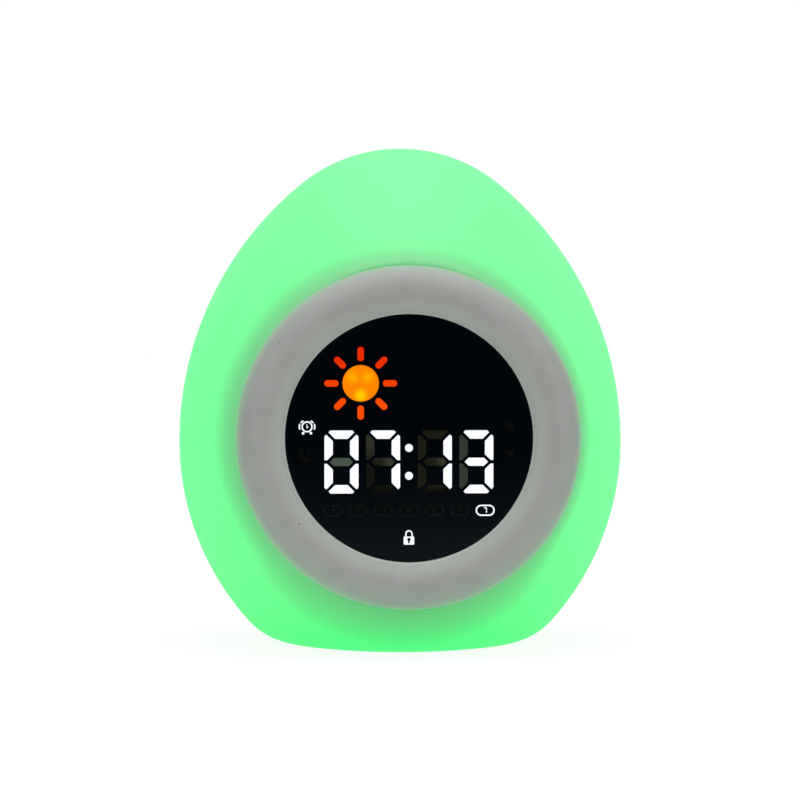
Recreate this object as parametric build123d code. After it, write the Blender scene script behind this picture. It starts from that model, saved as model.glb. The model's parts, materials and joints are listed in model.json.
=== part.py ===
from build123d import *
import math
import os

# Egg-shaped alarm clock with a glowing shell. Millimetres.
# Origin: on the egg's axis, in the plane of the surface it rests on.
# +Z is up, the display faces -Y, +X is to the right of someone reading the display.

# ---- Driving dimensions ------------------------------------------------------------------

# Egg shell
SHELL_HEIGHT = 117.4
SHELL_DIAMETER = 105.0
CROWN_RADIUS = 37.1
BELLY_HEIGHT = 48.0
CORNER_RADIUS = 16.0
BASE_FLAT_RADIUS = 24.3
SHELL_WALL = 2.2
FOOT_PROUD = 0.4
FIT_GAP = 0.15
ROOM_GAP = 0.3

# Display ring and its collar on the shell
AXIS_HEIGHT = 50.5
RING_RADIUS = 39.0
RING_CREST_INSET = 5.5
RING_ROLL = 5.5
RING_SEAT_GAP = 0.25
RING_LIP_DROP = 2.1
RING_SKIN = 1.5
COLLAR_WALL = 3.3
COLLAR_SINK = 0.33
COLLAR_OVERRUN = 2.6

# Window and display stack, front to back
WINDOW_RADIUS = 28.0
WINDOW_RECESS = 0.5
WINDOW_EDGE_GAP = 0.4
WINDOW_THICKNESS = 1.6
WINDOW_FLANGE_WIDTH = 1.5
WINDOW_FLANGE_THICKNESS = 0.8
TAPE_THICKNESS = 0.15
MASK_THICKNESS = 0.3
LIGHT_BOX_DEPTH = 5.0
BOARD_THICKNESS = 1.6
CARRIER_THICKNESS = 2.0
CARRIER_OPENING_RADIUS = 20.0
CARRIER_ARM_LENGTH = 8.0
CARRIER_ARM_WIDTH = 12.0
CARRIER_HOOK_RADIUS = 1.5
SEGMENT_LED_SIZE = 0.9
SEGMENT_LED_HEIGHT = 0.4

# Digits: the standard 0.56 inch LED size
DIGIT_HEIGHT = 14.2
DIGIT_WIDTH = 7.65
DIGIT_STROKE = 1.87
DIGIT_CHAMFER = 1.37
DIGIT_MITRE_GAP = 0.74
SEGMENT_TIP_SHARE = 0.65
SEGMENT_BAR_SHARE = 0.48
SEGMENT_END_SHARE = 0.57
DIGIT_DROP = 5.35
DIGIT_PITCH = 9.4
DIGIT_OFFSET = 10.55
DIGIT_TEXT = "0713"
COLON_DOT_RADIUS = 0.87
COLON_SPACING = 6.3

# Symbols on the display. Pairs of shares are places in radii of the symbol they belong to.
SUN_PLACE = (-10.9, 12.4)
SUN_DISC_RADIUS = 4.1
SUN_RAY_PLACE = 6.6
SUN_RAY_LENGTH = 3.2
SUN_RAY_WIDTH = 1.45
SUN_RAY_COUNT = 8
ALARM_PLACE = (-23.0, 2.6)
ALARM_RING_RADIUS = 1.26
ALARM_RING_STROKE = 0.3
ALARM_WAVE_RADIUS = 1.9
ALARM_BELL_PLACE = (0.9, 0.89)
ALARM_BELL_TILT = 40
ALARM_BELL_LENGTH = 0.8
ALARM_FOOT_PLACE = (0.7, -1.14)
ALARM_HANDS = ((-0.08, -0.28), (0.28, -0.08), (0.2, 0.04), (0.04, -0.04), (0.04, 0.44), (-0.08, 0.44))
MOON_PLACE = (-23.2, -3.7)
MOON_RADIUS = 1.8
MOON_BITE_PLACE = (0.4, 0.3)
MOON_BITE_SHARE = 0.83
MOON_STAR_PLACES = ((0.35, 0.6), (0.75, 0.15), (0.3, 0.0))
MOON_STAR_SHARE = 0.13
HALF_DAY_PLACES = ((22.9, 2.7), (22.9, -3.5))
HALF_DAY_DOT_RADIUS = 0.9
DAY_ROW_DROP = 16.35
DAY_PITCH = 5.75
DAY_COUNT = 7
DAY_PILL_LENGTH = 4.3
DAY_PILL_HEIGHT = 2.5
DAY_PILL_STROKE = 0.3
DAY_NUMERAL_HEIGHT = 1.4
DAY_NUMERAL_WIDTH = 0.81
DAY_NUMERAL_STROKE = 0.24
PADLOCK_DROP = 23.15
PADLOCK_WIDTH = 2.35
PADLOCK_HEIGHT = 1.8
PADLOCK_SHACKLE_RADIUS = 0.83
PADLOCK_SHACKLE_STROKE = 0.27
PADLOCK_SHACKLE_LEG = 0.62
KEYHOLE_RADIUS = 0.42
KEYHOLE_SLOT = (0.42, 0.92)

# Screws, all of one size
SCREW_RADIUS = 1.1
SCREW_HEAD_RADIUS = 2.0
SCREW_HEAD_HEIGHT = 1.5
SCREW_DRIVE_RADIUS = 0.8
SCREW_DRIVE_DEPTH = 0.7
SCREW_SINK = 1.0
PILOT_GAP = 0.05
POST_RADIUS = 2.8
SCREW_ANGLE = 45
CARRIER_SCREW_LENGTH = 7.0
BASE_SCREW_LENGTH = 8.0
COVER_SCREW_LENGTH = 9.0
BOARD_SCREW_LENGTH = 4.5

# Speaker: the standard 28 mm size
SPEAKER_RADIUS = 14.0
SPEAKER_FRAME_DEPTH = 5.0
SPEAKER_FRAME_WALL = 0.8
SPEAKER_MAGNET_RADIUS = 8.0
SPEAKER_MAGNET_DEPTH = 3.6
SPEAKER_GASKET_THICKNESS = 0.8
SPEAKER_GASKET_WIDTH = 1.8
SPEAKER_CONE_TRAVEL = 0.4
COIL_RADIUS = 4.2
COIL_WALL = 0.4
COIL_REACH = 1.2
CONE_WALL = 0.5
VENT_RADIUS = 1.5
SPEAKER_LEAD_REACH = 8.0
SPEAKER_LEAD_HOLE = 4.0

# Base
PLATE_RIM_THICKNESS = 1.0
PLATE_THICKNESS = 3.2
PLATE_LEDGE = 1.2
FOOT_WIDTH = 2.2
THIN_RIB = 0.8
FOOT_GROOVE_DEPTH = 1.0
GRILLE_HOLE_RADIUS = 0.9
GRILLE_PITCH = 3.6
GRILLE_COUNTS = (6, 12)

# Cell: the standard 18650 size
CELL_RADIUS = 9.2
CELL_LENGTH = 65.0
CRADLE_FLOOR = 1.5
CRADLE_WALL = 2.0
CRADLE_SIDE_HEIGHT = 9.0
CELL_CAP_RADIUS = 2.8
CELL_CAP_HEIGHT = 1.0

# Chassis
CHASSIS_WALL = 2.0
CHASSIS_GAP = 1.5
BRIDGE_DROP = 35.8
BRIDGE_DEPTH = 32.0
REAR_WALL_GAP = 4.0
CABLE_WINDOW = (30.0, 20.0)
CABLE_WINDOW_DROP = 2.0
SIDE_WINDOW_LENGTH = 22.0
SIDE_WINDOW_SILL = 3.0
SIDE_WINDOW_LINTEL = 5.0

# Glow boards
SIDE_BOARD_LENGTH = 26.0
SIDE_BOARD_RISE = 9.5
SIDE_BOARD_DROP = 24.0
TOP_GLOW_RADIUS = 14.0
GLOW_LED_SIZE = (3.5, 2.8, 1.2)
TOP_GLOW_LED_COUNT = 8

# Main board, key switches and sockets
MAIN_BOARD_INSET = 16.5
KEY_SWITCH_SIZE = 6.0
KEY_SWITCH_HEIGHT = 3.5
KEY_TRAVEL = 0.6
KEY_STEM_RADIUS = 1.6
CHIP_HEIGHT = 1.1
CHIPS = (((8.0, 12.5), (7.0, 7.0)), ((-8.0, 12.5), (5.0, 4.0)), ((0.0, -15.5), (6.0, 5.0)))
BUTTON_RADIUS = 4.0
BUTTON_FLANGE = 1.0
BUTTON_STAND_OFF = 1.9
BUTTON_PROUD = 0.7
BUTTON_PITCH_X = 13.0
BUTTON_ROWS = (11.0, -1.0)
BUTTON_TUBE_WALL = 1.2
RESET_PLACE = (14.0, -10.8)
RESET_HOLE_RADIUS = 0.9
RESET_SWITCH_SIZE = 3.5
RESET_SWITCH_HEIGHT = 2.0
RESET_PLUNGER_RADIUS = 0.8
RESET_TRAVEL = 0.25
POWER_PLACE = (-14.0, -10.8)
POWER_TRAVEL = 3.0
POWER_BODY = (8.0, 3.6, 3.8)
POWER_STEM_DEPTH = 1.2
POWER_PAD_THICKNESS = 2.6
POWER_RIDGE_GAP = 0.5
POWER_STEM = 1.8
POWER_PAD = (4.0, 4.4)
POWER_POCKET_DEPTH = 3.2
USB_DROP = 15.5
USB_WIDTH = 8.94
USB_HEIGHT = 3.26
USB_SHELL_WALL = 0.3
USB_TONGUE = (6.7, 0.7)
USB_CAVITY_DEPTH = 6.2
USB_TONGUE_RECESS = 0.9
PLUG_POCKET = (13.2, 7.4)
PLUG_POCKET_DEPTH = 4.6
POCKET_WALL = 1.2

# Rear cover
COVER_RADIUS = 30.0
COVER_RIM = 1.0
COVER_LEDGE = 1.7
BOARD_SCREW_ANGLES = (-6, 90, 186)

# Touch sensor under the crown
TOUCH_PLATE_RADIUS = 11.0
TOUCH_PLATE_THICKNESS = 0.4
TOUCH_SPRING_RADIUS = 3.0
TOUCH_WIRE_RADIUS = 0.35
TOUCH_SPRING_TURNS = 6

# Leads: how far their ends stand from the display's axis on the main board, and what they clear
LEAD_RADIUS = 0.7
LEAD_BEND = 3.0
LEAD_CLEARANCE = 4.0
BATTERY_LEAD_TURN = 16.4
BATTERY_LEAD_START = 26.2
BATTERY_LEAD_END = (11.0, -4.0)
GLOW_LEAD_TURN = 21.5
GLOW_LEAD_END = (10.0, 4.0)
SPEAKER_LEAD_END = (1.4, -7.0)
RIBBON_WIDTH = 9.0
RIBBON_THICKNESS = 0.4
RIBBON_BEND = 12.0
RIBBON_RISE = 4.0
RIBBON_END_RISE = 1.0

# ---- Egg outline ----------------------------------------------------------------------------

EGG_RADIUS = SHELL_DIAMETER / 2
SHELL_TOP = FOOT_PROUD + SHELL_HEIGHT
CROWN_Z = SHELL_TOP - CROWN_RADIUS
BELLY_Z = FOOT_PROUD + BELLY_HEIGHT
CORNER_Z = FOOT_PROUD + CORNER_RADIUS
CORNER_X = BASE_FLAT_RADIUS


def tangent_radius(side, rise, radius):
    """The radius of the arc that leaves the egg's widest level upright and ends tangent to an arc
    of the given radius, whose centre is side inward of the widest place and rise away in height."""
    return (side ** 2 + rise ** 2 - radius ** 2) / (2 * (side - radius))


FLANK_RADIUS = tangent_radius(EGG_RADIUS, CROWN_Z - BELLY_Z, CROWN_RADIUS)
BELLY_RADIUS = tangent_radius(EGG_RADIUS - CORNER_X, BELLY_Z - CORNER_Z, CORNER_RADIUS)
FLANK_X = EGG_RADIUS - FLANK_RADIUS
BELLY_X = EGG_RADIUS - BELLY_RADIUS
FLANK_TURN = math.atan2(CROWN_Z - BELLY_Z, -FLANK_X)
BELLY_TURN = math.atan2(BELLY_Z - CORNER_Z, CORNER_X - BELLY_X)


def egg(inset):
    """The egg's solid, with its whole surface moved inward by inset."""
    bottom = FOOT_PROUD + inset
    belly = math.degrees(BELLY_TURN)
    flank = math.degrees(FLANK_TURN)
    quarter = 90
    outline = Line((0, bottom), (CORNER_X, bottom))
    outline += CenterArc((CORNER_X, CORNER_Z), CORNER_RADIUS - inset, -quarter, quarter - belly)
    outline += CenterArc((BELLY_X, BELLY_Z), BELLY_RADIUS - inset, -belly, belly)
    outline += CenterArc((FLANK_X, BELLY_Z), FLANK_RADIUS - inset, 0, flank)
    outline += CenterArc((0, CROWN_Z), CROWN_RADIUS - inset, flank, quarter - flank)
    outline += Line((0, SHELL_TOP - inset), (0, bottom))
    return revolve(Plane.XZ * make_face(outline), Axis.Z)


def egg_width(height, inset):
    """The egg's radius at a height above its corner, inset included."""
    if height > BELLY_Z + (FLANK_RADIUS - inset) * math.sin(FLANK_TURN):
        return math.sqrt((CROWN_RADIUS - inset) ** 2 - (height - CROWN_Z) ** 2)
    if height > BELLY_Z:
        return FLANK_X + math.sqrt((FLANK_RADIUS - inset) ** 2 - (height - BELLY_Z) ** 2)
    return BELLY_X + math.sqrt((BELLY_RADIUS - inset) ** 2 - (height - BELLY_Z) ** 2)


def egg_depth(place):
    """How far the egg's back stands from its axis, behind a place on the display's axes."""
    return math.sqrt(egg_width(AXIS_HEIGHT + place[1], 0) ** 2 - place[0] ** 2)


# ---- Helpers --------------------------------------------------------------------------------

def between(sketch, front, back):
    """The sketch, drawn on the display's axes (right, up), made solid from front to back in Y."""
    plane = Plane(origin=(0, back, AXIS_HEIGHT), x_dir=(1, 0, 0), z_dir=(0, -1, 0))
    return extrude(plane * sketch, amount=back - front)


def upright(sketch, low, high):
    """The sketch, drawn in the XY plane, made solid between two heights."""
    return extrude(Pos(0, 0, low) * sketch, amount=high - low)


def turned(face):
    """A face drawn in radius and depth, turned about the display's axis."""
    return revolve(Pos(0, 0, AXIS_HEIGHT) * face, Axis((0, 0, AXIS_HEIGHT), (0, 1, 0)))


def ring_sketch(outer, inner):
    return Circle(outer) - Circle(inner)


def at(place, sketch):
    """The sketch moved to a place on the display's axes."""
    return Pos(place[0], place[1]) * sketch


def on_circle(radius, angle):
    """The place on a circle at an angle in degrees."""
    return (radius * math.cos(math.radians(angle)), radius * math.sin(math.radians(angle)))


def round_places(radius, count, start):
    """Places spread evenly on a circle, from a start angle in degrees."""
    return [on_circle(radius, start + 360 / count * i) for i in range(count)]


def drive_sketch():
    """A cross recess, as wide as a screw's drive."""
    bar = Rectangle(2 * SCREW_DRIVE_RADIUS, SCREW_DRIVE_RADIUS / 2)
    return bar + Rotation(0, 0, 90) * bar


def screw(length):
    """A pan-head screw, its head standing up from z = 0 and its shank going down."""
    head = upright(Circle(SCREW_HEAD_RADIUS), 0, SCREW_HEAD_HEIGHT)
    drive = upright(drive_sketch(), SCREW_HEAD_HEIGHT - SCREW_DRIVE_DEPTH, SCREW_HEAD_HEIGHT)
    return head - drive + upright(Circle(SCREW_RADIUS), -length, 0)


def rear_screw(place, seat, length):
    """A screw driven from behind: its head sits at depth seat and points backward."""
    return Location((place[0], seat, AXIS_HEIGHT + place[1]), (-90, 0, 0)) * screw(length)


def lead(points, radii):
    """A round lead along straight runs joined by tangent arcs."""
    path = FilletPolyline(*points, radius=radii)
    start = Plane(origin=path @ 0, z_dir=path % 0)
    return sweep(start * Circle(LEAD_RADIUS), path=path)


# ---- Depths of the display stack, front to back ---------------------------------------------

RING_CREST_DEPTH = EGG_RADIUS - RING_CREST_INSET
RING_SEAT_DEPTH = RING_CREST_DEPTH - RING_ROLL
RING_LIP_DEPTH = RING_CREST_DEPTH - RING_LIP_DROP
SHELL_FRONT = -(RING_SEAT_DEPTH - RING_SEAT_GAP)
WINDOW_FRONT = -(RING_LIP_DEPTH - WINDOW_RECESS)
WINDOW_BACK = WINDOW_FRONT + WINDOW_THICKNESS
WINDOW_FLANGE_FRONT = WINDOW_BACK - WINDOW_FLANGE_THICKNESS
WINDOW_FLANGE_RADIUS = WINDOW_RADIUS + WINDOW_FLANGE_WIDTH
TAPE_FRONT = WINDOW_FLANGE_FRONT - TAPE_THICKNESS
MASK_FRONT = WINDOW_BACK
MASK_BACK = MASK_FRONT + MASK_THICKNESS
BOX_FRONT = MASK_BACK
BOX_BACK = BOX_FRONT + LIGHT_BOX_DEPTH
DISPLAY_BOARD_FRONT = BOX_BACK
DISPLAY_BOARD_BACK = DISPLAY_BOARD_FRONT + BOARD_THICKNESS
CARRIER_FRONT = DISPLAY_BOARD_BACK
CARRIER_BACK = CARRIER_FRONT + CARRIER_THICKNESS
STACK_RADIUS = WINDOW_FLANGE_RADIUS - FIT_GAP

COLLAR_BORE = RING_RADIUS - COLLAR_WALL
SKIRT_RADIUS = COLLAR_BORE - ROOM_GAP
SKIRT_INNER = WINDOW_FLANGE_RADIUS + FIT_GAP
CARRIER_SCREW_CIRCLE = (SKIRT_RADIUS + SKIRT_INNER) / 2
CARRIER_SCREW_PLACES = round_places(CARRIER_SCREW_CIRCLE, 4, SCREW_ANGLE)

# ---- Heights of the base and the chassis ----------------------------------------------------

PLATE_BOTTOM = FOOT_PROUD
PLATE_TOP = PLATE_BOTTOM + PLATE_THICKNESS
BASE_SCREW_CIRCLE = SPEAKER_RADIUS + ROOM_GAP + POST_RADIUS
FOOT_INNER = BASE_SCREW_CIRCLE + SCREW_HEAD_RADIUS + ROOM_GAP + THIN_RIB
FOOT_OUTER = FOOT_INNER + FOOT_WIDTH
PLATE_BOSS_RADIUS = FOOT_OUTER + THIN_RIB
PLATE_RIM_RADIUS = PLATE_BOSS_RADIUS + PLATE_LEDGE
BASE_SCREW_PLACES = round_places(BASE_SCREW_CIRCLE, 4, SCREW_ANGLE)
BASE_SCREW_SEAT = PLATE_BOTTOM + SCREW_HEAD_HEIGHT + FIT_GAP

GASKET_TOP = PLATE_TOP + SPEAKER_GASKET_THICKNESS
SPEAKER_BACK = GASKET_TOP + SPEAKER_FRAME_DEPTH
MAGNET_TOP = SPEAKER_BACK + SPEAKER_MAGNET_DEPTH
DECK_BOTTOM = MAGNET_TOP + CHASSIS_GAP
DECK_TOP = DECK_BOTTOM + CHASSIS_WALL
CELL_Z = DECK_TOP + CRADLE_FLOOR + CELL_RADIUS
CRADLE_HALF = CELL_LENGTH / 2 + ROOM_GAP
SIDE_INNER = CRADLE_HALF + ROOM_GAP
SIDE_OUTER = SIDE_INNER + CHASSIS_WALL
HOOK_INNER = SIDE_INNER - FIT_GAP - CARRIER_THICKNESS
SIDE_FRONT = -math.sqrt(egg_width(AXIS_HEIGHT, SHELL_WALL + CHASSIS_GAP) ** 2 - SIDE_OUTER ** 2)
ARM_END = max(CARRIER_BACK, SIDE_FRONT) + CARRIER_ARM_LENGTH
BRIDGE_TOP = SHELL_TOP - BRIDGE_DROP
MAIN_BOARD_DEPTH = EGG_RADIUS - MAIN_BOARD_INSET
MAIN_BOARD_BACK = MAIN_BOARD_DEPTH + BOARD_THICKNESS
REAR_WALL_DEPTH = MAIN_BOARD_DEPTH - REAR_WALL_GAP
REAR_WALL_FRONT = REAR_WALL_DEPTH - CHASSIS_WALL
SPEAKER_LEAD_DEPTH = SPEAKER_RADIUS + SPEAKER_LEAD_REACH
COVER_BODY_RADIUS = COVER_RADIUS - COVER_LEDGE
COVER_SCREW_CIRCLE = COVER_BODY_RADIUS - ROOM_GAP - POST_RADIUS
MAIN_BOARD_RADIUS = COVER_SCREW_CIRCLE - POST_RADIUS - ROOM_GAP
BOARD_SCREW_CIRCLE = MAIN_BOARD_RADIUS - POST_RADIUS
BOARD_SCREW_PLACES = [on_circle(BOARD_SCREW_CIRCLE, angle) for angle in BOARD_SCREW_ANGLES]
COVER_SCREW_PLACES = round_places(COVER_SCREW_CIRCLE, 4, SCREW_ANGLE)
COVER_SCREW_SEAT = min(egg_depth(place) for place in COVER_SCREW_PLACES) - SCREW_HEAD_HEIGHT - SCREW_SINK
COVER_BOSS_FRONT = COVER_SCREW_SEAT - CHASSIS_WALL
POST_BACK = COVER_BOSS_FRONT - FIT_GAP

SWITCH_TOP = MAIN_BOARD_BACK + KEY_SWITCH_HEIGHT
BUTTON_FRONT = SWITCH_TOP + BUTTON_STAND_OFF
BUTTON_TUBE_FRONT = BUTTON_FRONT + BUTTON_FLANGE + ROOM_GAP
BUTTON_TUBE_INNER = BUTTON_RADIUS + ROOM_GAP
BUTTON_TUBE_OUTER = BUTTON_TUBE_INNER + BUTTON_TUBE_WALL
BUTTON_FLANGE_RADIUS = BUTTON_RADIUS + ROOM_GAP + BUTTON_TUBE_WALL / 2
BUTTON_PLACES = {
    "alarm_button": (-BUTTON_PITCH_X, BUTTON_ROWS[0]),
    "time_button": (0.0, BUTTON_ROWS[0]),
    "light_button": (BUTTON_PITCH_X, BUTTON_ROWS[0]),
    "volume_up_button": (-BUTTON_PITCH_X, BUTTON_ROWS[1]),
    "nap_button": (0.0, BUTTON_ROWS[1]),
    "volume_down_button": (BUTTON_PITCH_X, BUTTON_ROWS[1]),
}
STEM_TIP = SWITCH_TOP - KEY_TRAVEL - ROOM_GAP
SWITCH_WELL_FLOOR = STEM_TIP - KEY_TRAVEL - ROOM_GAP

USB_PLACE = (0.0, -USB_DROP)
PLUG_POCKET_FLOOR = egg_depth(USB_PLACE) - PLUG_POCKET_DEPTH
POWER_POCKET_FLOOR = egg_depth(POWER_PLACE) - POWER_POCKET_DEPTH
POWER_POCKET = (POWER_PAD[0] + POWER_TRAVEL + 2 * ROOM_GAP, POWER_PAD[1] + 2 * ROOM_GAP)
POWER_SLOT = (POWER_STEM + POWER_TRAVEL + 2 * ROOM_GAP, POWER_STEM + 2 * ROOM_GAP)
POWER_BODY_TOP = MAIN_BOARD_BACK + POWER_BODY[2]
POWER_STEM_TIP = POWER_BODY_TOP - POWER_STEM_DEPTH
POWER_REST = (POWER_PLACE[0] - POWER_TRAVEL / 2, POWER_PLACE[1])
RESET_TOP = MAIN_BOARD_BACK + RESET_SWITCH_HEIGHT
RESET_TIP = RESET_TOP - RESET_TRAVEL - ROOM_GAP
RESET_WELL_FLOOR = RESET_TIP - RESET_TRAVEL - ROOM_GAP
RESET_PLUNGER_TOP = RESET_TOP + RESET_TRAVEL + ROOM_GAP
RESET_TUBE_FRONT = RESET_TOP + 3 * ROOM_GAP + RESET_TRAVEL

TOUCH_PLATE_TOP = (CROWN_Z + math.sqrt((CROWN_RADIUS - SHELL_WALL) ** 2 - TOUCH_PLATE_RADIUS ** 2)
                   - FIT_GAP)
TOUCH_PLATE_BOTTOM = TOUCH_PLATE_TOP - TOUCH_PLATE_THICKNESS
SIDE_BOARD_INNER = SIDE_OUTER
SIDE_BOARD_OUTER = SIDE_BOARD_INNER + BOARD_THICKNESS
SIDE_BOARD_BOTTOM = DECK_TOP + SIDE_BOARD_RISE
SIDE_BOARD_TOP = BRIDGE_TOP - SIDE_BOARD_DROP
SIDE_WINDOW_BOTTOM = SIDE_BOARD_TOP + SIDE_WINDOW_SILL
SIDE_WINDOW_TOP = BRIDGE_TOP - CHASSIS_WALL - SIDE_WINDOW_LINTEL
TOP_BOARD_BOTTOM = BRIDGE_TOP
TOP_BOARD_TOP = TOP_BOARD_BOTTOM + BOARD_THICKNESS


# ---- Display glyphs, drawn on the display's axes --------------------------------------------

def mirrored(points, flip_x, flip_y):
    """Points mirrored left-right, top-bottom or both."""
    sign_x = -1 if flip_x else 1
    sign_y = -1 if flip_y else 1
    return [(sign_x * x, sign_y * y) for x, y in points]


def polygon(points):
    return make_face(Polyline(*points, close=True))


def digit_segments(width, height, stroke, chamfer, mitre_gap):
    """The seven segments a to g of one digit centred on the origin, mitred at the corners."""
    half_w = width / 2
    half_h = height / 2
    shift = mitre_gap / math.sqrt(2)
    tip = half_w - SEGMENT_TIP_SHARE * stroke
    half_bar = SEGMENT_BAR_SHARE * stroke
    end_gap = SEGMENT_END_SHARE * mitre_gap
    top_left = [
        (-half_w + chamfer, half_h),
        (-half_w + (chamfer + shift) / 2, half_h - (chamfer - shift) / 2),
        (-half_w + stroke + shift, half_h - stroke),
    ]
    top = top_left + mirrored(top_left, True, False)[::-1]
    upper_left = [
        (-half_w, half_h - chamfer),
        (-half_w + (chamfer - shift) / 2, half_h - (chamfer + shift) / 2),
        (-half_w + stroke, half_h - stroke - shift),
        (-half_w + stroke, stroke - half_w + tip + 2 * shift),
        (-tip + end_gap - 2 * shift, end_gap),
        (-half_w, end_gap),
    ]
    middle = [(-tip, 0), (-tip + half_bar, half_bar), (tip - half_bar, half_bar),
              (tip, 0), (tip - half_bar, -half_bar), (-tip + half_bar, -half_bar)]
    return {
        "a": polygon(top),
        "b": polygon(mirrored(upper_left, True, False)),
        "c": polygon(mirrored(upper_left, True, True)),
        "d": polygon(mirrored(top, False, True)),
        "e": polygon(mirrored(upper_left, False, True)),
        "f": polygon(upper_left),
        "g": polygon(middle),
    }


LIT_SEGMENTS = {"0": "abcdef", "1": "bc", "2": "abged", "3": "abgcd", "4": "fgbc",
                "5": "afgcd", "6": "afgedc", "7": "abc"}


def digit_places():
    """The centres of the four digits, two either side of the colon."""
    inner = DIGIT_OFFSET - DIGIT_PITCH / 2
    outer = inner + DIGIT_PITCH
    return [(x, -DIGIT_DROP) for x in (-outer, -inner, inner, outer)]


def digit_sketches(lit):
    """The lit or the unlit segments of the four digits, as a list of faces."""
    shapes = digit_segments(DIGIT_WIDTH, DIGIT_HEIGHT, DIGIT_STROKE, DIGIT_CHAMFER, DIGIT_MITRE_GAP)
    found = []
    for place, value in zip(digit_places(), DIGIT_TEXT):
        for name, shape in shapes.items():
            if (name in LIT_SEGMENTS[value]) == lit:
                found.append(at(place, shape))
    return found


def colon_sketches():
    return [at((0, -DIGIT_DROP + side * COLON_SPACING / 2), Circle(COLON_DOT_RADIUS)) for side in (1, -1)]


def sun_ray_sketches():
    """Rounded rays spread round the sun, each along its own radius."""
    ray = Pos(SUN_RAY_PLACE, 0) * SlotOverall(SUN_RAY_LENGTH, SUN_RAY_WIDTH)
    step = 360 / SUN_RAY_COUNT
    return [at(SUN_PLACE, Rotation(0, 0, step * i) * ray) for i in range(SUN_RAY_COUNT)]


def alarm_sketches():
    """A round alarm clock with bells, feet and hands, between two ringing marks."""
    radius = ALARM_RING_RADIUS
    stroke = ALARM_RING_STROKE
    ring = ring_sketch(radius, radius - stroke)
    hands = [(radius * x, radius * y) for x, y in ALARM_HANDS]
    found = [ring, polygon(hands)]
    for side in (1, -1):
        bell = Rotation(0, 0, -side * ALARM_BELL_TILT) * SlotOverall(ALARM_BELL_LENGTH, stroke)
        found.append(Pos(side * radius * ALARM_BELL_PLACE[0], radius * ALARM_BELL_PLACE[1]) * bell)
        found.append(Pos(side * radius * ALARM_FOOT_PLACE[0], radius * ALARM_FOOT_PLACE[1]) * Circle(stroke))
        wave = ring_sketch(ALARM_WAVE_RADIUS, ALARM_WAVE_RADIUS - stroke)
        found.append(wave & Pos(side * ALARM_WAVE_RADIUS, 0) * Rectangle(radius, radius))
    return [at(ALARM_PLACE, piece) for piece in found]


def moon_sketches():
    """A crescent with three round stars."""
    bite_x, bite_y = MOON_BITE_PLACE
    bite = Pos(bite_x * MOON_RADIUS, bite_y * MOON_RADIUS) * Circle(MOON_BITE_SHARE * MOON_RADIUS)
    crescent = Circle(MOON_RADIUS) - bite
    stars = [Pos(x * MOON_RADIUS, y * MOON_RADIUS) * Circle(MOON_STAR_SHARE * MOON_RADIUS)
             for x, y in MOON_STAR_PLACES]
    return [at(MOON_PLACE, piece) for piece in [crescent] + stars]


def padlock_sketches():
    """A padlock: a body with a keyhole, and a shackle joined to it."""
    slot_width, slot_length = KEYHOLE_SLOT
    keyhole = Circle(KEYHOLE_RADIUS) + Pos(0, -slot_length / 2) * Rectangle(slot_width, slot_length)
    keyhole = Pos(0, (slot_length - KEYHOLE_RADIUS) / 2) * keyhole
    body = RectangleRounded(PADLOCK_WIDTH, PADLOCK_HEIGHT, PADLOCK_SHACKLE_STROKE / 2) - keyhole
    outer = PADLOCK_SHACKLE_RADIUS
    arch = ring_sketch(outer, outer - PADLOCK_SHACKLE_STROKE) & Pos(0, outer / 2) * Rectangle(2 * outer, outer)
    leg = PADLOCK_SHACKLE_LEG + PADLOCK_SHACKLE_STROKE
    for side in (1, -1):
        middle = side * (outer - PADLOCK_SHACKLE_STROKE / 2)
        arch += Pos(middle, -leg / 2) * Rectangle(PADLOCK_SHACKLE_STROKE, leg)
    lock = body + Pos(0, PADLOCK_HEIGHT / 2 + PADLOCK_SHACKLE_LEG) * arch
    return [at((0, -PADLOCK_DROP), lock)]


def day_sketches(number):
    """One day mark: a pill outline with a plain numeral inside."""
    stroke = DAY_NUMERAL_STROKE
    shapes = digit_segments(DAY_NUMERAL_WIDTH, DAY_NUMERAL_HEIGHT, stroke, stroke, stroke / 3)
    pill = SlotOverall(DAY_PILL_LENGTH, DAY_PILL_HEIGHT)
    pill -= SlotOverall(DAY_PILL_LENGTH - 2 * DAY_PILL_STROKE, DAY_PILL_HEIGHT - 2 * DAY_PILL_STROKE)
    place = ((number - (DAY_COUNT + 1) / 2) * DAY_PITCH, -DAY_ROW_DROP)
    return [at(place, pill)] + [at(place, shapes[name]) for name in LIT_SEGMENTS[str(number)]]


def half_day_sketches():
    return [at(place, Circle(HALF_DAY_DOT_RADIUS)) for place in HALF_DAY_PLACES]


DAY_LIT_SKETCHES = day_sketches(DAY_COUNT)
DAY_UNLIT_SKETCHES = [piece for number in range(1, DAY_COUNT) for piece in day_sketches(number)]
GLYPHS = {
    "digits_lit": digit_sketches(True),
    "digits_unlit": digit_sketches(False),
    "colon_dots": colon_sketches(),
    "sun_disc": [at(SUN_PLACE, Circle(SUN_DISC_RADIUS))],
    "sun_rays": sun_ray_sketches(),
    "alarm_icon": alarm_sketches(),
    "moon_icon": moon_sketches(),
    "padlock_icon": padlock_sketches(),
    "day_mark_lit": DAY_LIT_SKETCHES,
    "day_marks_unlit": DAY_UNLIT_SKETCHES,
    "half_day_dots": half_day_sketches(),
}


# ---- Shell and display ring -----------------------------------------------------------------

FAR = SHELL_DIAMETER


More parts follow.
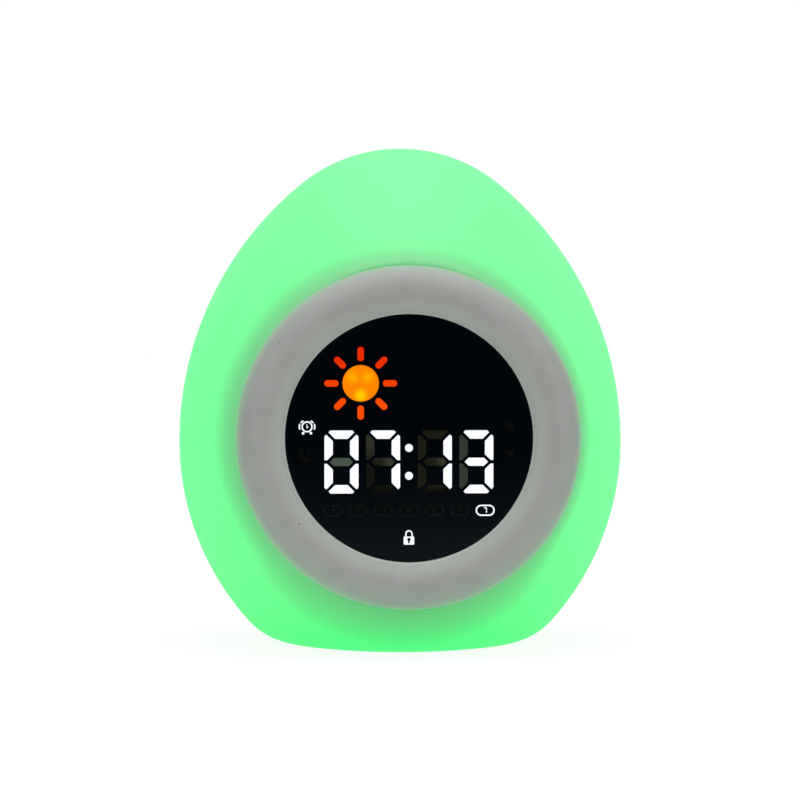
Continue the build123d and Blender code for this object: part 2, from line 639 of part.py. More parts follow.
def collar():
    """The trumpet-shaped swelling that carries the ring where the egg's side falls away. Its flare
    leaves the ring's edge straight back and meets the egg's side tangent, a little sunk into it."""
    reach = EGG_RADIUS - COLLAR_SINK
    flare = (RING_RADIUS ** 2 + SHELL_FRONT ** 2 - reach ** 2) / (2 * (reach - RING_RADIUS))
    turn = math.degrees(math.atan2(-SHELL_FRONT, RING_RADIUS + flare)) + COLLAR_OVERRUN
    end_x = RING_RADIUS + flare * (1 - math.cos(math.radians(turn)))
    end_y = SHELL_FRONT + flare * math.sin(math.radians(turn))
    outline = Line((0, SHELL_FRONT), (RING_RADIUS, SHELL_FRONT))
    outline += CenterArc((RING_RADIUS + flare, SHELL_FRONT), flare, 180, -turn)
    outline += Polyline((end_x, end_y), (0, end_y), (0, SHELL_FRONT))
    return turned(make_face(outline))


def diffuser_shell():
    """The hollow egg, cut flat for the ring and opened for the rear cover and the base plate."""
    whole = Circle(FAR)
    outside = egg(0) - between(whole, -FAR, SHELL_FRONT) + collar()
    cavity = egg(SHELL_WALL) - between(whole, -FAR, SHELL_FRONT + SHELL_WALL)
    shell = outside - cavity
    shell -= between(Circle(COLLAR_BORE), -FAR, CARRIER_BACK)
    shell -= between(Circle(COVER_BODY_RADIUS + FIT_GAP), 0, FAR)
    shell -= between(Circle(COVER_RADIUS + FIT_GAP), 0, FAR) - egg(COVER_RIM + FIT_GAP)
    shell -= upright(Circle(PLATE_BOSS_RADIUS + FIT_GAP), 0, DECK_BOTTOM)
    shell -= upright(Circle(PLATE_RIM_RADIUS + FIT_GAP), 0, PLATE_BOTTOM + PLATE_RIM_THICKNESS)
    return shell


def ring_outline():
    """The ring's section: a rolled outer edge, a gentle inner slope, a lip and a skirt."""
    crest = RING_RADIUS - RING_ROLL
    run = crest - WINDOW_RADIUS
    slope = (run ** 2 + RING_LIP_DROP ** 2) / (2 * RING_LIP_DROP)
    slope_angle = math.degrees(math.asin(run / slope))
    outline = CenterArc((crest, -RING_SEAT_DEPTH), RING_ROLL, 0, -90)
    outline += CenterArc((crest, slope - RING_CREST_DEPTH), slope, -90, -slope_angle)
    outline += Polyline(
        (WINDOW_RADIUS, -RING_LIP_DEPTH),
        (WINDOW_RADIUS, TAPE_FRONT),
        (SKIRT_INNER, TAPE_FRONT),
        (SKIRT_INNER, CARRIER_FRONT),
        (SKIRT_RADIUS, CARRIER_FRONT),
        (SKIRT_RADIUS, -RING_SEAT_DEPTH),
        (RING_RADIUS, -RING_SEAT_DEPTH),
    )
    return make_face(outline)


def front_bezel():
    """The ring, cored out from behind between four screw bosses."""
    ring = turned(ring_outline())
    core = between(ring_sketch(SKIRT_RADIUS - RING_SKIN, SKIRT_INNER + RING_SKIN), TAPE_FRONT, CARRIER_FRONT)
    for place in CARRIER_SCREW_PLACES:
        core -= between(at(place, Circle(POST_RADIUS)), TAPE_FRONT, CARRIER_FRONT)
    ring -= core
    reach = CARRIER_SCREW_LENGTH - CARRIER_THICKNESS + ROOM_GAP
    for place in CARRIER_SCREW_PLACES:
        hole = at(place, Circle(SCREW_RADIUS + PILOT_GAP))
        ring -= between(hole, CARRIER_FRONT - reach, CARRIER_FRONT)
    return ring


def display_window():
    """The smoked window: a disc with a thinner flange that is taped to the ring's lip."""
    disc = between(Circle(WINDOW_RADIUS - WINDOW_EDGE_GAP), WINDOW_FRONT, WINDOW_BACK)
    return disc + between(Circle(STACK_RADIUS), WINDOW_FLANGE_FRONT, WINDOW_BACK)


def window_tape():
    return between(ring_sketch(STACK_RADIUS, WINDOW_RADIUS + FIT_GAP), TAPE_FRONT, WINDOW_FLANGE_FRONT)


# ---- Display stack --------------------------------------------------------------------------

def glyph_solids(sketches):
    """The light guides that fill the mask's windows."""
    return Compound(children=[between(piece, MASK_FRONT, MASK_BACK).solid() for piece in sketches])


def windows(sketches):
    """The openings for those light guides, a little larger than they are."""
    return [offset(piece, amount=PILOT_GAP) for piece in sketches]


def mask_plate():
    plate = between(Circle(STACK_RADIUS), MASK_FRONT, MASK_BACK)
    for sketches in GLYPHS.values():
        for window in windows(sketches):
            plate -= between(window, MASK_FRONT, MASK_BACK)
    return plate


def day_cells():
    cell = SlotOverall(DAY_PILL_LENGTH + 2 * FIT_GAP, DAY_PILL_HEIGHT + 2 * FIT_GAP)
    middle = (DAY_COUNT - 1) / 2
    return [at(((i - middle) * DAY_PITCH, -DAY_ROW_DROP), cell) for i in range(DAY_COUNT)]


def cells():
    """One light cell behind every segment, disc, ray, symbol and day mark."""
    shapes = windows(GLYPHS["digits_lit"] + GLYPHS["digits_unlit"] + GLYPHS["colon_dots"])
    shapes += windows(GLYPHS["sun_disc"] + GLYPHS["sun_rays"] + GLYPHS["half_day_dots"])
    shapes += day_cells()
    shapes.append(at(ALARM_PLACE, Circle(2 * ALARM_RING_RADIUS)))
    shapes.append(at(MOON_PLACE, Circle(MOON_RADIUS + ROOM_GAP)))
    padlock_top = PADLOCK_HEIGHT / 2 + PADLOCK_SHACKLE_LEG + PADLOCK_SHACKLE_RADIUS
    shapes.append(at((0, -PADLOCK_DROP), Circle(padlock_top)))
    return shapes


def light_box():
    box = between(Circle(STACK_RADIUS), BOX_FRONT, BOX_BACK)
    for cell in cells():
        box -= between(cell, BOX_FRONT, BOX_BACK)
    return box


def segment_leds():
    """One small square LED on the board in the middle of every light cell."""
    leds = []
    for cell in cells():
        middle = cell.center()
        square = Pos(middle.X, middle.Y) * Rectangle(SEGMENT_LED_SIZE, SEGMENT_LED_SIZE)
        leds.append(between(square, DISPLAY_BOARD_FRONT - SEGMENT_LED_HEIGHT, DISPLAY_BOARD_FRONT).solid())
    return Compound(children=leds)


def display_board():
    return between(Circle(STACK_RADIUS), DISPLAY_BOARD_FRONT, DISPLAY_BOARD_BACK)


def display_carrier():
    """The plate behind the display, with two arms that hook onto the chassis sides."""
    plate = between(ring_sketch(SKIRT_RADIUS, CARRIER_OPENING_RADIUS), CARRIER_FRONT, CARRIER_BACK)
    for place in CARRIER_SCREW_PLACES:
        plate -= between(at(place, Circle(SCREW_RADIUS + FIT_GAP)), CARRIER_FRONT, CARRIER_BACK)
    for side in (1, -1):
        middle = side * (SIDE_INNER - FIT_GAP - CARRIER_THICKNESS / 2)
        arm = Pos(middle, 0) * Rectangle(CARRIER_THICKNESS, CARRIER_ARM_WIDTH)
        plate += between(arm, CARRIER_FRONT, ARM_END)
    return plate - hook_rod(CARRIER_HOOK_RADIUS + FIT_GAP, SIDE_OUTER)


def hook_rod(radius, half_length):
    """A rod across the carrier's arms, at their free ends."""
    depth = ARM_END - CARRIER_ARM_LENGTH / 2
    return Pos(0, depth, AXIS_HEIGHT) * Rotation(0, 90, 0) * Cylinder(radius, 2 * half_length)


def carrier_screws():
    screws = [rear_screw(place, CARRIER_BACK, CARRIER_SCREW_LENGTH) for place in CARRIER_SCREW_PLACES]
    return Compound(children=[piece.solid() for piece in screws])


# ---- Chassis --------------------------------------------------------------------------------

def block(low, high):
    """A box between two corners."""
    size = [b - a for a, b in zip(low, high)]
    middle = [(a + b) / 2 for a, b in zip(low, high)]
    return Pos(*middle) * Box(*size)


def chassis_side(side):
    """One upright side, with a window above its glow board."""
    inner = side * SIDE_INNER
    outer = side * SIDE_OUTER
    low_x = min(inner, outer)
    high_x = max(inner, outer)
    wall = block((low_x, CARRIER_BACK, DECK_BOTTOM), (high_x, REAR_WALL_DEPTH, BRIDGE_TOP))
    half_y = SIDE_WINDOW_LENGTH / 2
    return wall - block((low_x, -half_y, SIDE_WINDOW_BOTTOM), (high_x, half_y, SIDE_WINDOW_TOP))


def chassis():
    """A deck on four legs, two sides, a rear wall with posts and a bridge across the top."""
    frame = upright(Circle(FAR), DECK_BOTTOM, DECK_TOP)
    frame += chassis_side(1) + chassis_side(-1)
    frame += block((-SIDE_OUTER, REAR_WALL_FRONT, DECK_BOTTOM), (SIDE_OUTER, REAR_WALL_DEPTH, BRIDGE_TOP))
    half_y = BRIDGE_DEPTH / 2
    frame += block((-SIDE_OUTER, -half_y, BRIDGE_TOP - CHASSIS_WALL), (SIDE_OUTER, half_y, BRIDGE_TOP))
    frame &= egg(SHELL_WALL + CHASSIS_GAP)
    frame -= between(Circle(FAR), -FAR, CARRIER_BACK)
    frame -= between(Pos(0, -CABLE_WINDOW_DROP) * Rectangle(*CABLE_WINDOW), REAR_WALL_FRONT, REAR_WALL_DEPTH)
    frame -= upright(Pos(0, SPEAKER_LEAD_DEPTH) * Circle(SPEAKER_LEAD_HOLE), DECK_BOTTOM, DECK_TOP)
    hooks = hook_rod(CARRIER_HOOK_RADIUS, SIDE_OUTER)
    frame += hooks - block((-HOOK_INNER, -FAR, 0), (HOOK_INNER, FAR, FAR))
    posts = [(place, POST_BACK, COVER_SCREW_LENGTH) for place in COVER_SCREW_PLACES]
    posts += [(place, MAIN_BOARD_DEPTH, BOARD_SCREW_LENGTH) for place in BOARD_SCREW_PLACES]
    pilot = Circle(SCREW_RADIUS + PILOT_GAP)
    for place, end, length in posts:
        frame += between(at(place, Circle(POST_RADIUS)), REAR_WALL_DEPTH, end)
        frame -= between(at(place, pilot), end - length, end)
    for place in BASE_SCREW_PLACES:
        frame += upright(at(place, Circle(POST_RADIUS)), PLATE_TOP, DECK_BOTTOM)
        frame -= upright(at(place, pilot), PLATE_TOP, PLATE_TOP + BASE_SCREW_LENGTH)
    return frame


# ---- Power ----------------------------------------------------------------------------------

def along_x(radius, low, high, place):
    """A rod along X at a (depth, height) place."""
    return Pos((low + high) / 2, *place) * Rotation(0, 90, 0) * Cylinder(radius, high - low)


def battery_cell():
    """The cell lying across the deck, its positive cap to the right."""
    half = CELL_LENGTH / 2
    can = along_x(CELL_RADIUS, -half, half - CELL_CAP_HEIGHT, (0, CELL_Z))
    return can + along_x(CELL_CAP_RADIUS, half - CELL_CAP_HEIGHT, half, (0, CELL_Z))


def battery_cradle():
    """A saddle under the cell, open at both ends."""
    half_y = CELL_RADIUS + FIT_GAP + CRADLE_WALL
    high = DECK_TOP + CRADLE_FLOOR + CRADLE_SIDE_HEIGHT
    saddle = block((-CRADLE_HALF, -half_y, DECK_TOP), (CRADLE_HALF, half_y, high))
    return saddle - along_x(CELL_RADIUS + FIT_GAP, -CRADLE_HALF, CRADLE_HALF, (0, CELL_Z + FIT_GAP))


def battery_lead(side):
    """A lead from one end of the cell, over its top and back to the main board."""
    start_z = CELL_Z + CELL_RADIUS + LEAD_RADIUS + FIT_GAP
    end_x, rise = BATTERY_LEAD_END
    end_z = AXIS_HEIGHT + rise
    points = [
        (side * BATTERY_LEAD_START, 0, start_z),
        (side * BATTERY_LEAD_TURN, CELL_RADIUS, start_z + LEAD_CLEARANCE / 2),
        (side * end_x, REAR_WALL_FRONT - LEAD_CLEARANCE, end_z),
        (side * end_x, MAIN_BOARD_DEPTH, end_z),
    ]
    return lead(points, [2 * LEAD_BEND, LEAD_BEND])


# ---- Base and speaker -----------------------------------------------------------------------

def grille_places():
    """The centre and two rings of sound holes."""
    inner, outer = GRILLE_COUNTS
    return [(0, 0)] + round_places(GRILLE_PITCH, inner, 0) + round_places(2 * GRILLE_PITCH, outer, 0)


def base_plate():
    """The plate that closes the base, with the speaker's sound holes and a groove for the foot."""
    plate = upright(Circle(PLATE_RIM_RADIUS), PLATE_BOTTOM, PLATE_BOTTOM + PLATE_RIM_THICKNESS)
    plate += upright(Circle(PLATE_BOSS_RADIUS), PLATE_BOTTOM, PLATE_TOP)
    groove = ring_sketch(FOOT_OUTER + PILOT_GAP, FOOT_INNER - PILOT_GAP)
    plate -= upright(groove, PLATE_BOTTOM, PLATE_BOTTOM + FOOT_GROOVE_DEPTH)
    for place in BASE_SCREW_PLACES:
        plate -= upright(at(place, Circle(SCREW_HEAD_RADIUS + ROOM_GAP)), PLATE_BOTTOM, BASE_SCREW_SEAT)
        plate -= upright(at(place, Circle(SCREW_RADIUS + FIT_GAP)), PLATE_BOTTOM, PLATE_TOP)
    for place in grille_places():
        plate -= upright(at(place, Circle(GRILLE_HOLE_RADIUS)), PLATE_BOTTOM, PLATE_TOP)
    return plate


def base_screws():
    turned_over = [Location((x, y, BASE_SCREW_SEAT), (180, 0, 0)) * screw(BASE_SCREW_LENGTH)
                   for x, y in BASE_SCREW_PLACES]
    return Compound(children=[piece.solid() for piece in turned_over])


def foot_ring():
    """The soft ring the clock stands on, its lower edges rounded."""
    ring = upright(ring_sketch(FOOT_OUTER, FOOT_INNER), 0, PLATE_BOTTOM + FOOT_GROOVE_DEPTH)
    return fillet(ring.edges().group_by(Axis.Z)[0], FOOT_PROUD / 2)


def speaker_gasket():
    return upright(ring_sketch(SPEAKER_RADIUS, SPEAKER_RADIUS - SPEAKER_GASKET_WIDTH), PLATE_TOP, GASKET_TOP)


def speaker_frame():
    """A shallow basket, open below, with four vents and a hole for the coil."""
    inner = SPEAKER_RADIUS - SPEAKER_FRAME_WALL
    basket = upright(Circle(SPEAKER_RADIUS), GASKET_TOP, SPEAKER_BACK)
    basket -= upright(Circle(inner), GASKET_TOP, SPEAKER_BACK - SPEAKER_FRAME_WALL)
    basket -= upright(Circle(COIL_RADIUS + 2 * ROOM_GAP), GASKET_TOP, SPEAKER_BACK)
    for x, y in round_places((SPEAKER_MAGNET_RADIUS + inner) / 2, 4, 0):
        basket -= upright(Pos(x, y) * Circle(VENT_RADIUS), GASKET_TOP, SPEAKER_BACK)
    return basket


def speaker_magnet():
    """The magnet pot, with a ring-shaped gap that the coil moves in."""
    pot = upright(Circle(SPEAKER_MAGNET_RADIUS), SPEAKER_BACK, MAGNET_TOP)
    gap = ring_sketch(COIL_RADIUS + ROOM_GAP, COIL_RADIUS - COIL_WALL - ROOM_GAP)
    return pot - upright(gap, SPEAKER_BACK, SPEAKER_BACK + COIL_REACH + SPEAKER_CONE_TRAVEL + ROOM_GAP)


def speaker_cone():
    """The paper cone, its dust cap and the coil on its back, as one moving piece."""
    edge = SPEAKER_RADIUS - SPEAKER_FRAME_WALL - THIN_RIB
    low = GASKET_TOP + SPEAKER_CONE_TRAVEL + ROOM_GAP
    high = SPEAKER_BACK - SPEAKER_FRAME_WALL - SPEAKER_CONE_TRAVEL - ROOM_GAP
    tip = SPEAKER_BACK + COIL_REACH
    former = COIL_RADIUS - COIL_WALL
    section = polygon([
        (0, high - CONE_WALL), (COIL_RADIUS, high - CONE_WALL), (edge, low), (edge, low + CONE_WALL),
        (COIL_RADIUS, high), (COIL_RADIUS, tip), (former, tip), (former, high), (0, high),
    ])
    return revolve(Plane.XZ * section, Axis.Z)


def speaker_leads():
    """Two leads from the basket, up behind the cell and through the rear wall."""
    low = (GASKET_TOP + SPEAKER_BACK) / 2
    end_x, rise = SPEAKER_LEAD_END
    high = AXIS_HEIGHT + rise
    leads = []
    for x in (end_x, -end_x):
        points = [(x, SPEAKER_RADIUS, low), (x, SPEAKER_LEAD_DEPTH, low), (x, SPEAKER_LEAD_DEPTH, high),
                  (x, MAIN_BOARD_DEPTH, high)]
        leads.append(lead(points, [LEAD_BEND, LEAD_BEND]).solid())
    return Compound(children=leads)


# ---- Glow boards and touch sensor -----------------------------------------------------------

def side_glow_boards():
    """Two upright boards on the outside of the chassis sides."""
    half_y = SIDE_BOARD_LENGTH / 2
    low = (SIDE_BOARD_INNER, -half_y, SIDE_BOARD_BOTTOM)
    right = block(low, (SIDE_BOARD_OUTER, half_y, SIDE_BOARD_TOP))
    return Compound(children=[right.solid(), mirror(right, Plane.YZ).solid()])


def top_glow_board():
    """A round board on the bridge, with a hole for the touch spring's pin."""
    return upright(Circle(TOP_GLOW_RADIUS), TOP_BOARD_BOTTOM, TOP_BOARD_TOP)


def glow_leds():
    """LEDs in two columns on each side board and in a ring on the top board."""
    wide, high, thick = GLOW_LED_SIZE
    middle = (SIDE_BOARD_BOTTOM + SIDE_BOARD_TOP) / 2
    pitch = (SIDE_BOARD_TOP - SIDE_BOARD_BOTTOM) / 3
    leds = []
    for side in (1, -1):
        inner = min(side * SIDE_BOARD_OUTER, side * (SIDE_BOARD_OUTER + thick))
        for y in (-SIDE_BOARD_LENGTH / 4, SIDE_BOARD_LENGTH / 4):
            for row in (-1, 0, 1):
                z = middle + row * pitch
                led = block((inner, y - wide / 2, z - high / 2), (inner + thick, y + wide / 2, z + high / 2))
                leds.append(led.solid())
    for x, y in round_places(TOP_GLOW_RADIUS - wide, TOP_GLOW_LED_COUNT, 0):
        leds.append(upright(Pos(x, y) * Rectangle(wide, high), TOP_BOARD_TOP, TOP_BOARD_TOP + thick).solid())
    return Compound(children=leds)


def glow_leads():
    """A lead from each side board through its window, and one down from the top board."""
    side_x = (SIDE_BOARD_INNER + SIDE_BOARD_OUTER) / 2
    pass_z = (SIDE_WINDOW_BOTTOM + SIDE_WINDOW_TOP) / 2
    pass_y = SIDE_WINDOW_LENGTH / 4
    end_x, rise = GLOW_LEAD_END
    end_z = AXIS_HEIGHT + rise
    leads = []
    for side in (1, -1):
        points = [(side * side_x, 0, SIDE_BOARD_TOP), (side * side_x, 0, pass_z),
                  (side * GLOW_LEAD_TURN, pass_y, pass_z),
                  (side * end_x, REAR_WALL_FRONT - LEAD_CLEARANCE, end_z),
                  (side * end_x, MAIN_BOARD_DEPTH, end_z)]
        leads.append(lead(points, [LEAD_BEND, 2 * LEAD_BEND, LEAD_BEND]).solid())
    top_z = (TOP_BOARD_BOTTOM + TOP_BOARD_TOP) / 2
    drop_y = REAR_WALL_FRONT - LEAD_CLEARANCE
    points = [(0, TOP_GLOW_RADIUS, top_z), (0, drop_y, top_z), (0, drop_y, end_z), (0, MAIN_BOARD_DEPTH, end_z)]
    leads.append(lead(points, [LEAD_BEND, LEAD_BEND]).solid())
    return Compound(children=leads)


def touch_plate():
    return upright(Circle(TOUCH_PLATE_RADIUS), TOUCH_PLATE_BOTTOM, TOUCH_PLATE_TOP)


def touch_spring():
    """A coil spring that connects the touch plate to the top board."""
    low = TOP_BOARD_TOP + TOUCH_WIRE_RADIUS
    high = TOUCH_PLATE_BOTTOM - TOUCH_WIRE_RADIUS
    path = Pos(0, 0, low) * Helix((high - low) / TOUCH_SPRING_TURNS, high - low, TOUCH_SPRING_RADIUS)
    start = Plane(origin=path @ 0, z_dir=path % 0)
    return sweep(start * Circle(TOUCH_WIRE_RADIUS), path=path, is_frenet=True)


# ---- Main board and what it carries ---------------------------------------------------------

def main_board():
    board = between(Circle(MAIN_BOARD_RADIUS), MAIN_BOARD_DEPTH, MAIN_BOARD_BACK)
    for place in BOARD_SCREW_PLACES:
        board -= between(at(place, Circle(SCREW_RADIUS + FIT_GAP)), MAIN_BOARD_DEPTH, MAIN_BOARD_BACK)
    return board


def board_screws():
    screws = [rear_screw(place, MAIN_BOARD_BACK, BOARD_SCREW_LENGTH) for place in BOARD_SCREW_PLACES]
    return Compound(children=[piece.solid() for piece in screws])


def control_chips():
    """The controller, the sound amplifier and the charger, on the board's inner face."""
    chips = [between(at(place, Rectangle(*size)), MAIN_BOARD_DEPTH - CHIP_HEIGHT, MAIN_BOARD_DEPTH)
             for place, size in CHIPS]
    return Compound(children=[chip.solid() for chip in chips])


def key_switch_bodies():
    """Six square switch bodies, each with a well that its button's stem works in."""
    bodies = []
    for place in BUTTON_PLACES.values():
        body = between(at(place, Rectangle(KEY_SWITCH_SIZE, KEY_SWITCH_SIZE)), MAIN_BOARD_BACK, SWITCH_TOP)
        well = between(at(place, Circle(KEY_STEM_RADIUS + ROOM_GAP)), SWITCH_WELL_FLOOR, SWITCH_TOP)
        bodies.append((body - well).solid())
    return Compound(children=bodies)


def button(place):
    """One button: a domed cap that follows the cover, a flange behind it and a stem."""
    cap = between(at(place, Circle(BUTTON_RADIUS)), BUTTON_FRONT, FAR) & egg(-BUTTON_PROUD)
    flange = between(at(place, Circle(BUTTON_FLANGE_RADIUS)), BUTTON_FRONT, BUTTON_FRONT + BUTTON_FLANGE)
    return cap + flange + between(at(place, Circle(KEY_STEM_RADIUS)), STEM_TIP, BUTTON_FRONT)


def reset_switch_body():
    square = at(RESET_PLACE, Rectangle(RESET_SWITCH_SIZE, RESET_SWITCH_SIZE))
    well = at(RESET_PLACE, Circle(RESET_PLUNGER_RADIUS + ROOM_GAP))
    return between(square, MAIN_BOARD_BACK, RESET_TOP) - between(well, RESET_WELL_FLOOR, RESET_TOP)


def reset_plunger():
    return between(at(RESET_PLACE, Circle(RESET_PLUNGER_RADIUS)), RESET_TIP, RESET_PLUNGER_TOP)


def power_switch_body():
    body = between(at(POWER_PLACE, Rectangle(*POWER_BODY[:2])), MAIN_BOARD_BACK, POWER_BODY_TOP)
    return body - between(at(POWER_PLACE, Rectangle(*POWER_SLOT)), POWER_STEM_TIP - ROOM_GAP, POWER_BODY_TOP)


def power_switch_knob():
    """The slide knob at its off end: a ridged pad on a square stem."""
    low = POWER_POCKET_FLOOR + ROOM_GAP
    high = low + POWER_PAD_THICKNESS
    knob = between(at(POWER_REST, Rectangle(*POWER_PAD)), low, high)
    for step in (-1, 0, 1):
        groove = Pos(step * POWER_PAD[0] / 4, 0) * Rectangle(POWER_RIDGE_GAP, POWER_PAD[1])
        knob -= between(at(POWER_REST, groove), high - POWER_RIDGE_GAP, high)
    return knob + between(at(POWER_REST, Rectangle(POWER_STEM, POWER_STEM)), POWER_STEM_TIP, low)


def usb_socket():
    """The charging socket: a rounded metal mouth with a flat tongue inside, on a solid base."""
    outer = SlotOverall(USB_WIDTH, USB_HEIGHT)
    inner = SlotOverall(USB_WIDTH - 2 * USB_SHELL_WALL, USB_HEIGHT - 2 * USB_SHELL_WALL)
    floor = PLUG_POCKET_FLOOR - USB_CAVITY_DEPTH
    socket = between(at(USB_PLACE, outer), MAIN_BOARD_BACK, PLUG_POCKET_FLOOR)
    socket -= between(at(USB_PLACE, inner), floor, PLUG_POCKET_FLOOR)
    tongue = at(USB_PLACE, Rectangle(*USB_TONGUE))
    return socket + between(tongue, floor, PLUG_POCKET_FLOOR - USB_TONGUE_RECESS)


def display_ribbon():
    """The flat ribbon from the display board to the main board, with a little slack."""
    high = AXIS_HEIGHT + RIBBON_RISE
    low = AXIS_HEIGHT - RIBBON_RISE
    end = AXIS_HEIGHT + RIBBON_END_RISE
    points = [(DISPLAY_BOARD_BACK, high), (DISPLAY_BOARD_BACK / 2, high), (0, low),
              (MAIN_BOARD_DEPTH / 2, end), (MAIN_BOARD_DEPTH, end)]
    band = trace(FilletPolyline(*points, radius=RIBBON_BEND), line_width=RIBBON_THICKNESS)
    side = Plane(origin=(-RIBBON_WIDTH / 2, 0, 0), x_dir=(0, 1, 0), z_dir=(1, 0, 0))
    return extrude(side * band, amount=RIBBON_WIDTH)


# ---- Rear cover -----------------------------------------------------------------------------

def plug_pocket_sketch(grow):
    return at(USB_PLACE, SlotOverall(PLUG_POCKET[0] + grow, PLUG_POCKET[1] + grow))


def power_pocket_sketch(grow):
    return at(POWER_PLACE, Rectangle(POWER_POCKET[0] + grow, POWER_POCKET[1] + grow))


def cover_bosses():
    """Everything that stands up inside the cover, as (sketch, inner end) pairs."""
    found = [(at(place, Circle(BUTTON_TUBE_OUTER)), BUTTON_TUBE_FRONT) for place in BUTTON_PLACES.values()]
    found += [(at(place, Circle(POST_RADIUS)), COVER_BOSS_FRONT) for place in COVER_SCREW_PLACES]
    found.append((at(RESET_PLACE, Circle(RESET_HOLE_RADIUS + POCKET_WALL)), RESET_TUBE_FRONT))
    found.append((plug_pocket_sketch(2 * POCKET_WALL), PLUG_POCKET_FLOOR - POCKET_WALL))
    found.append((power_pocket_sketch(2 * POCKET_WALL), POWER_POCKET_FLOOR - POCKET_WALL))
    return found


def cover_holes():
    """Everything that is cut into the cover from behind, as (sketch, inner end) pairs."""
    found = [(at(place, Circle(BUTTON_TUBE_INNER)), 0) for place in BUTTON_PLACES.values()]
    for place in COVER_SCREW_PLACES:
        found.append((at(place, Circle(SCREW_HEAD_RADIUS + ROOM_GAP)), COVER_SCREW_SEAT))
        found.append((at(place, Circle(SCREW_RADIUS + FIT_GAP)), 0))
    found.append((at(RESET_PLACE, Circle(RESET_HOLE_RADIUS)), 0))
    found.append((plug_pocket_sketch(0), PLUG_POCKET_FLOOR))
    found.append((at(USB_PLACE, SlotOverall(USB_WIDTH + 2 * FIT_GAP, USB_HEIGHT + 2 * FIT_GAP)), 0))
    found.append((power_pocket_sketch(0), POWER_POCKET_FLOOR))
    found.append((at(POWER_PLACE, Rectangle(*POWER_SLOT)), 0))
    return found


def rear_cover():
    """A round panel that continues the egg's surface and seats on a step in the shell."""
    rim = (between(Circle(COVER_RADIUS), 0, FAR) & egg(0)) - egg(COVER_RIM)
    body = (between(Circle(COVER_BODY_RADIUS), 0, FAR) & egg(0)) - egg(SHELL_WALL)
    cover = rim + body
    for sketch, end in cover_bosses():
        cover += between(sketch & Circle(COVER_BODY_RADIUS), end, FAR) & egg(COVER_RIM / 2)
    for sketch, end in cover_holes():
        cover -= between(sketch, end, FAR)
    return cover


def rear_screws():
    screws = [rear_screw(place, COVER_SCREW_SEAT, COVER_SCREW_LENGTH) for place in COVER_SCREW_PLACES]
    return Compound(children=[piece.solid() for piece in screws])


# ---- Write every piece ----------------------------------------------------------------------

NODES = {
    "diffuser_shell": diffuser_shell,
    "front_bezel": front_bezel,
    "display_window": display_window,
    "window_tape": window_tape,
    "mask_plate": mask_plate,
    "light_box": light_box,
    "segment_leds": segment_leds,
    "display_board": display_board,
    "display_carrier": display_carrier,
    "carrier_screws": carrier_screws,
    "chassis": chassis,
    "battery_cell": battery_cell,
    "battery_cradle": battery_cradle,
    "base_plate": base_plate,
    "base_screws": base_screws,
    "foot_ring": foot_ring,
    "speaker_gasket": speaker_gasket,
    "speaker_frame": speaker_frame,
    "speaker_magnet": speaker_magnet,
    "speaker_cone": speaker_cone,
    "speaker_leads": speaker_leads,
    "side_glow_boards": side_glow_boards,
    "top_glow_board": top_glow_board,
    "glow_leds": glow_leds,
    "glow_leads": glow_leads,
    "touch_plate": touch_plate,
    "touch_spring": touch_spring,
    "main_board": main_board,
    "board_screws": board_screws,
    "control_chips": control_chips,
    "key_switch_bodies": key_switch_bodies,
    "reset_switch_body": reset_switch_body,
    "reset_plunger": reset_plunger,
    "power_switch_body": power_switch_body,
    "power_switch_knob": power_switch_knob,
    "usb_socket": usb_socket,
    "display_ribbon": display_ribbon,
    "rear_cover": rear_cover,
    "rear_screws": rear_screws,
}


def write(name, shape):
    export_step(shape, os.path.join("parts", name + ".step"))


def main():
    os.makedirs("parts", exist_ok=True)
    for name, make in NODES.items():
        write(name, make())
    for name, sketches in GLYPHS.items():
        write(name, glyph_solids(sketches))
    for name, place in BUTTON_PLACES.items():
        write(name, button(place))
    write("battery_lead_red", battery_lead(1))
    write("battery_lead_black", battery_lead(-1))


main()
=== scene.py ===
import json
import math

import bmesh
import bpy
import numpy as np
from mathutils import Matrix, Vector


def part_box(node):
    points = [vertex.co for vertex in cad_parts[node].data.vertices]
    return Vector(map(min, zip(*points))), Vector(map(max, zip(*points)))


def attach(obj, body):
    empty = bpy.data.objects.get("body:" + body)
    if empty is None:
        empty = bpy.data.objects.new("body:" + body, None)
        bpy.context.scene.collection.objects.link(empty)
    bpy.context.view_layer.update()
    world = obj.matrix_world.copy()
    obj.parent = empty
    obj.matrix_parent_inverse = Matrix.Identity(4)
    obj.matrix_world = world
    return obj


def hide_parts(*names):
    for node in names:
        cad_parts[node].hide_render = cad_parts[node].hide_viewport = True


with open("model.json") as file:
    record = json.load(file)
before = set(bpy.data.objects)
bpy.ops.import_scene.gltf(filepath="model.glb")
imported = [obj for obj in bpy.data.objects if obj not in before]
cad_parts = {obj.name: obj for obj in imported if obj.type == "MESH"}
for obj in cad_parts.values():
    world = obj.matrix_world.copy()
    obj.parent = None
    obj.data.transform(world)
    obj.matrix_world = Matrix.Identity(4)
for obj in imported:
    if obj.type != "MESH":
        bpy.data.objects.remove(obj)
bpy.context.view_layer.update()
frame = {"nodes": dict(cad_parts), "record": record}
MM = 0.001

# ---- Sizes, from the frame where it holds them ----------------------------------------------

RING_LOW, RING_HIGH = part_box("front_bezel")
SHELL_LOW, SHELL_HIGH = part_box("diffuser_shell")
WINDOW_LOW, WINDOW_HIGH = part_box("display_window")
AXIS_Z = (RING_LOW[2] + RING_HIGH[2]) / 2
RING_RADIUS = (RING_HIGH[0] - RING_LOW[0]) / 2
RING_CREST_Y = RING_LOW[1]
RING_BACK_Y = RING_HIGH[1]
SHELL_BASE_Z = SHELL_LOW[2]
SHELL_TOP_Z = SHELL_HIGH[2]
EGG_RADIUS = (SHELL_HIGH[0] - SHELL_LOW[0]) / 2

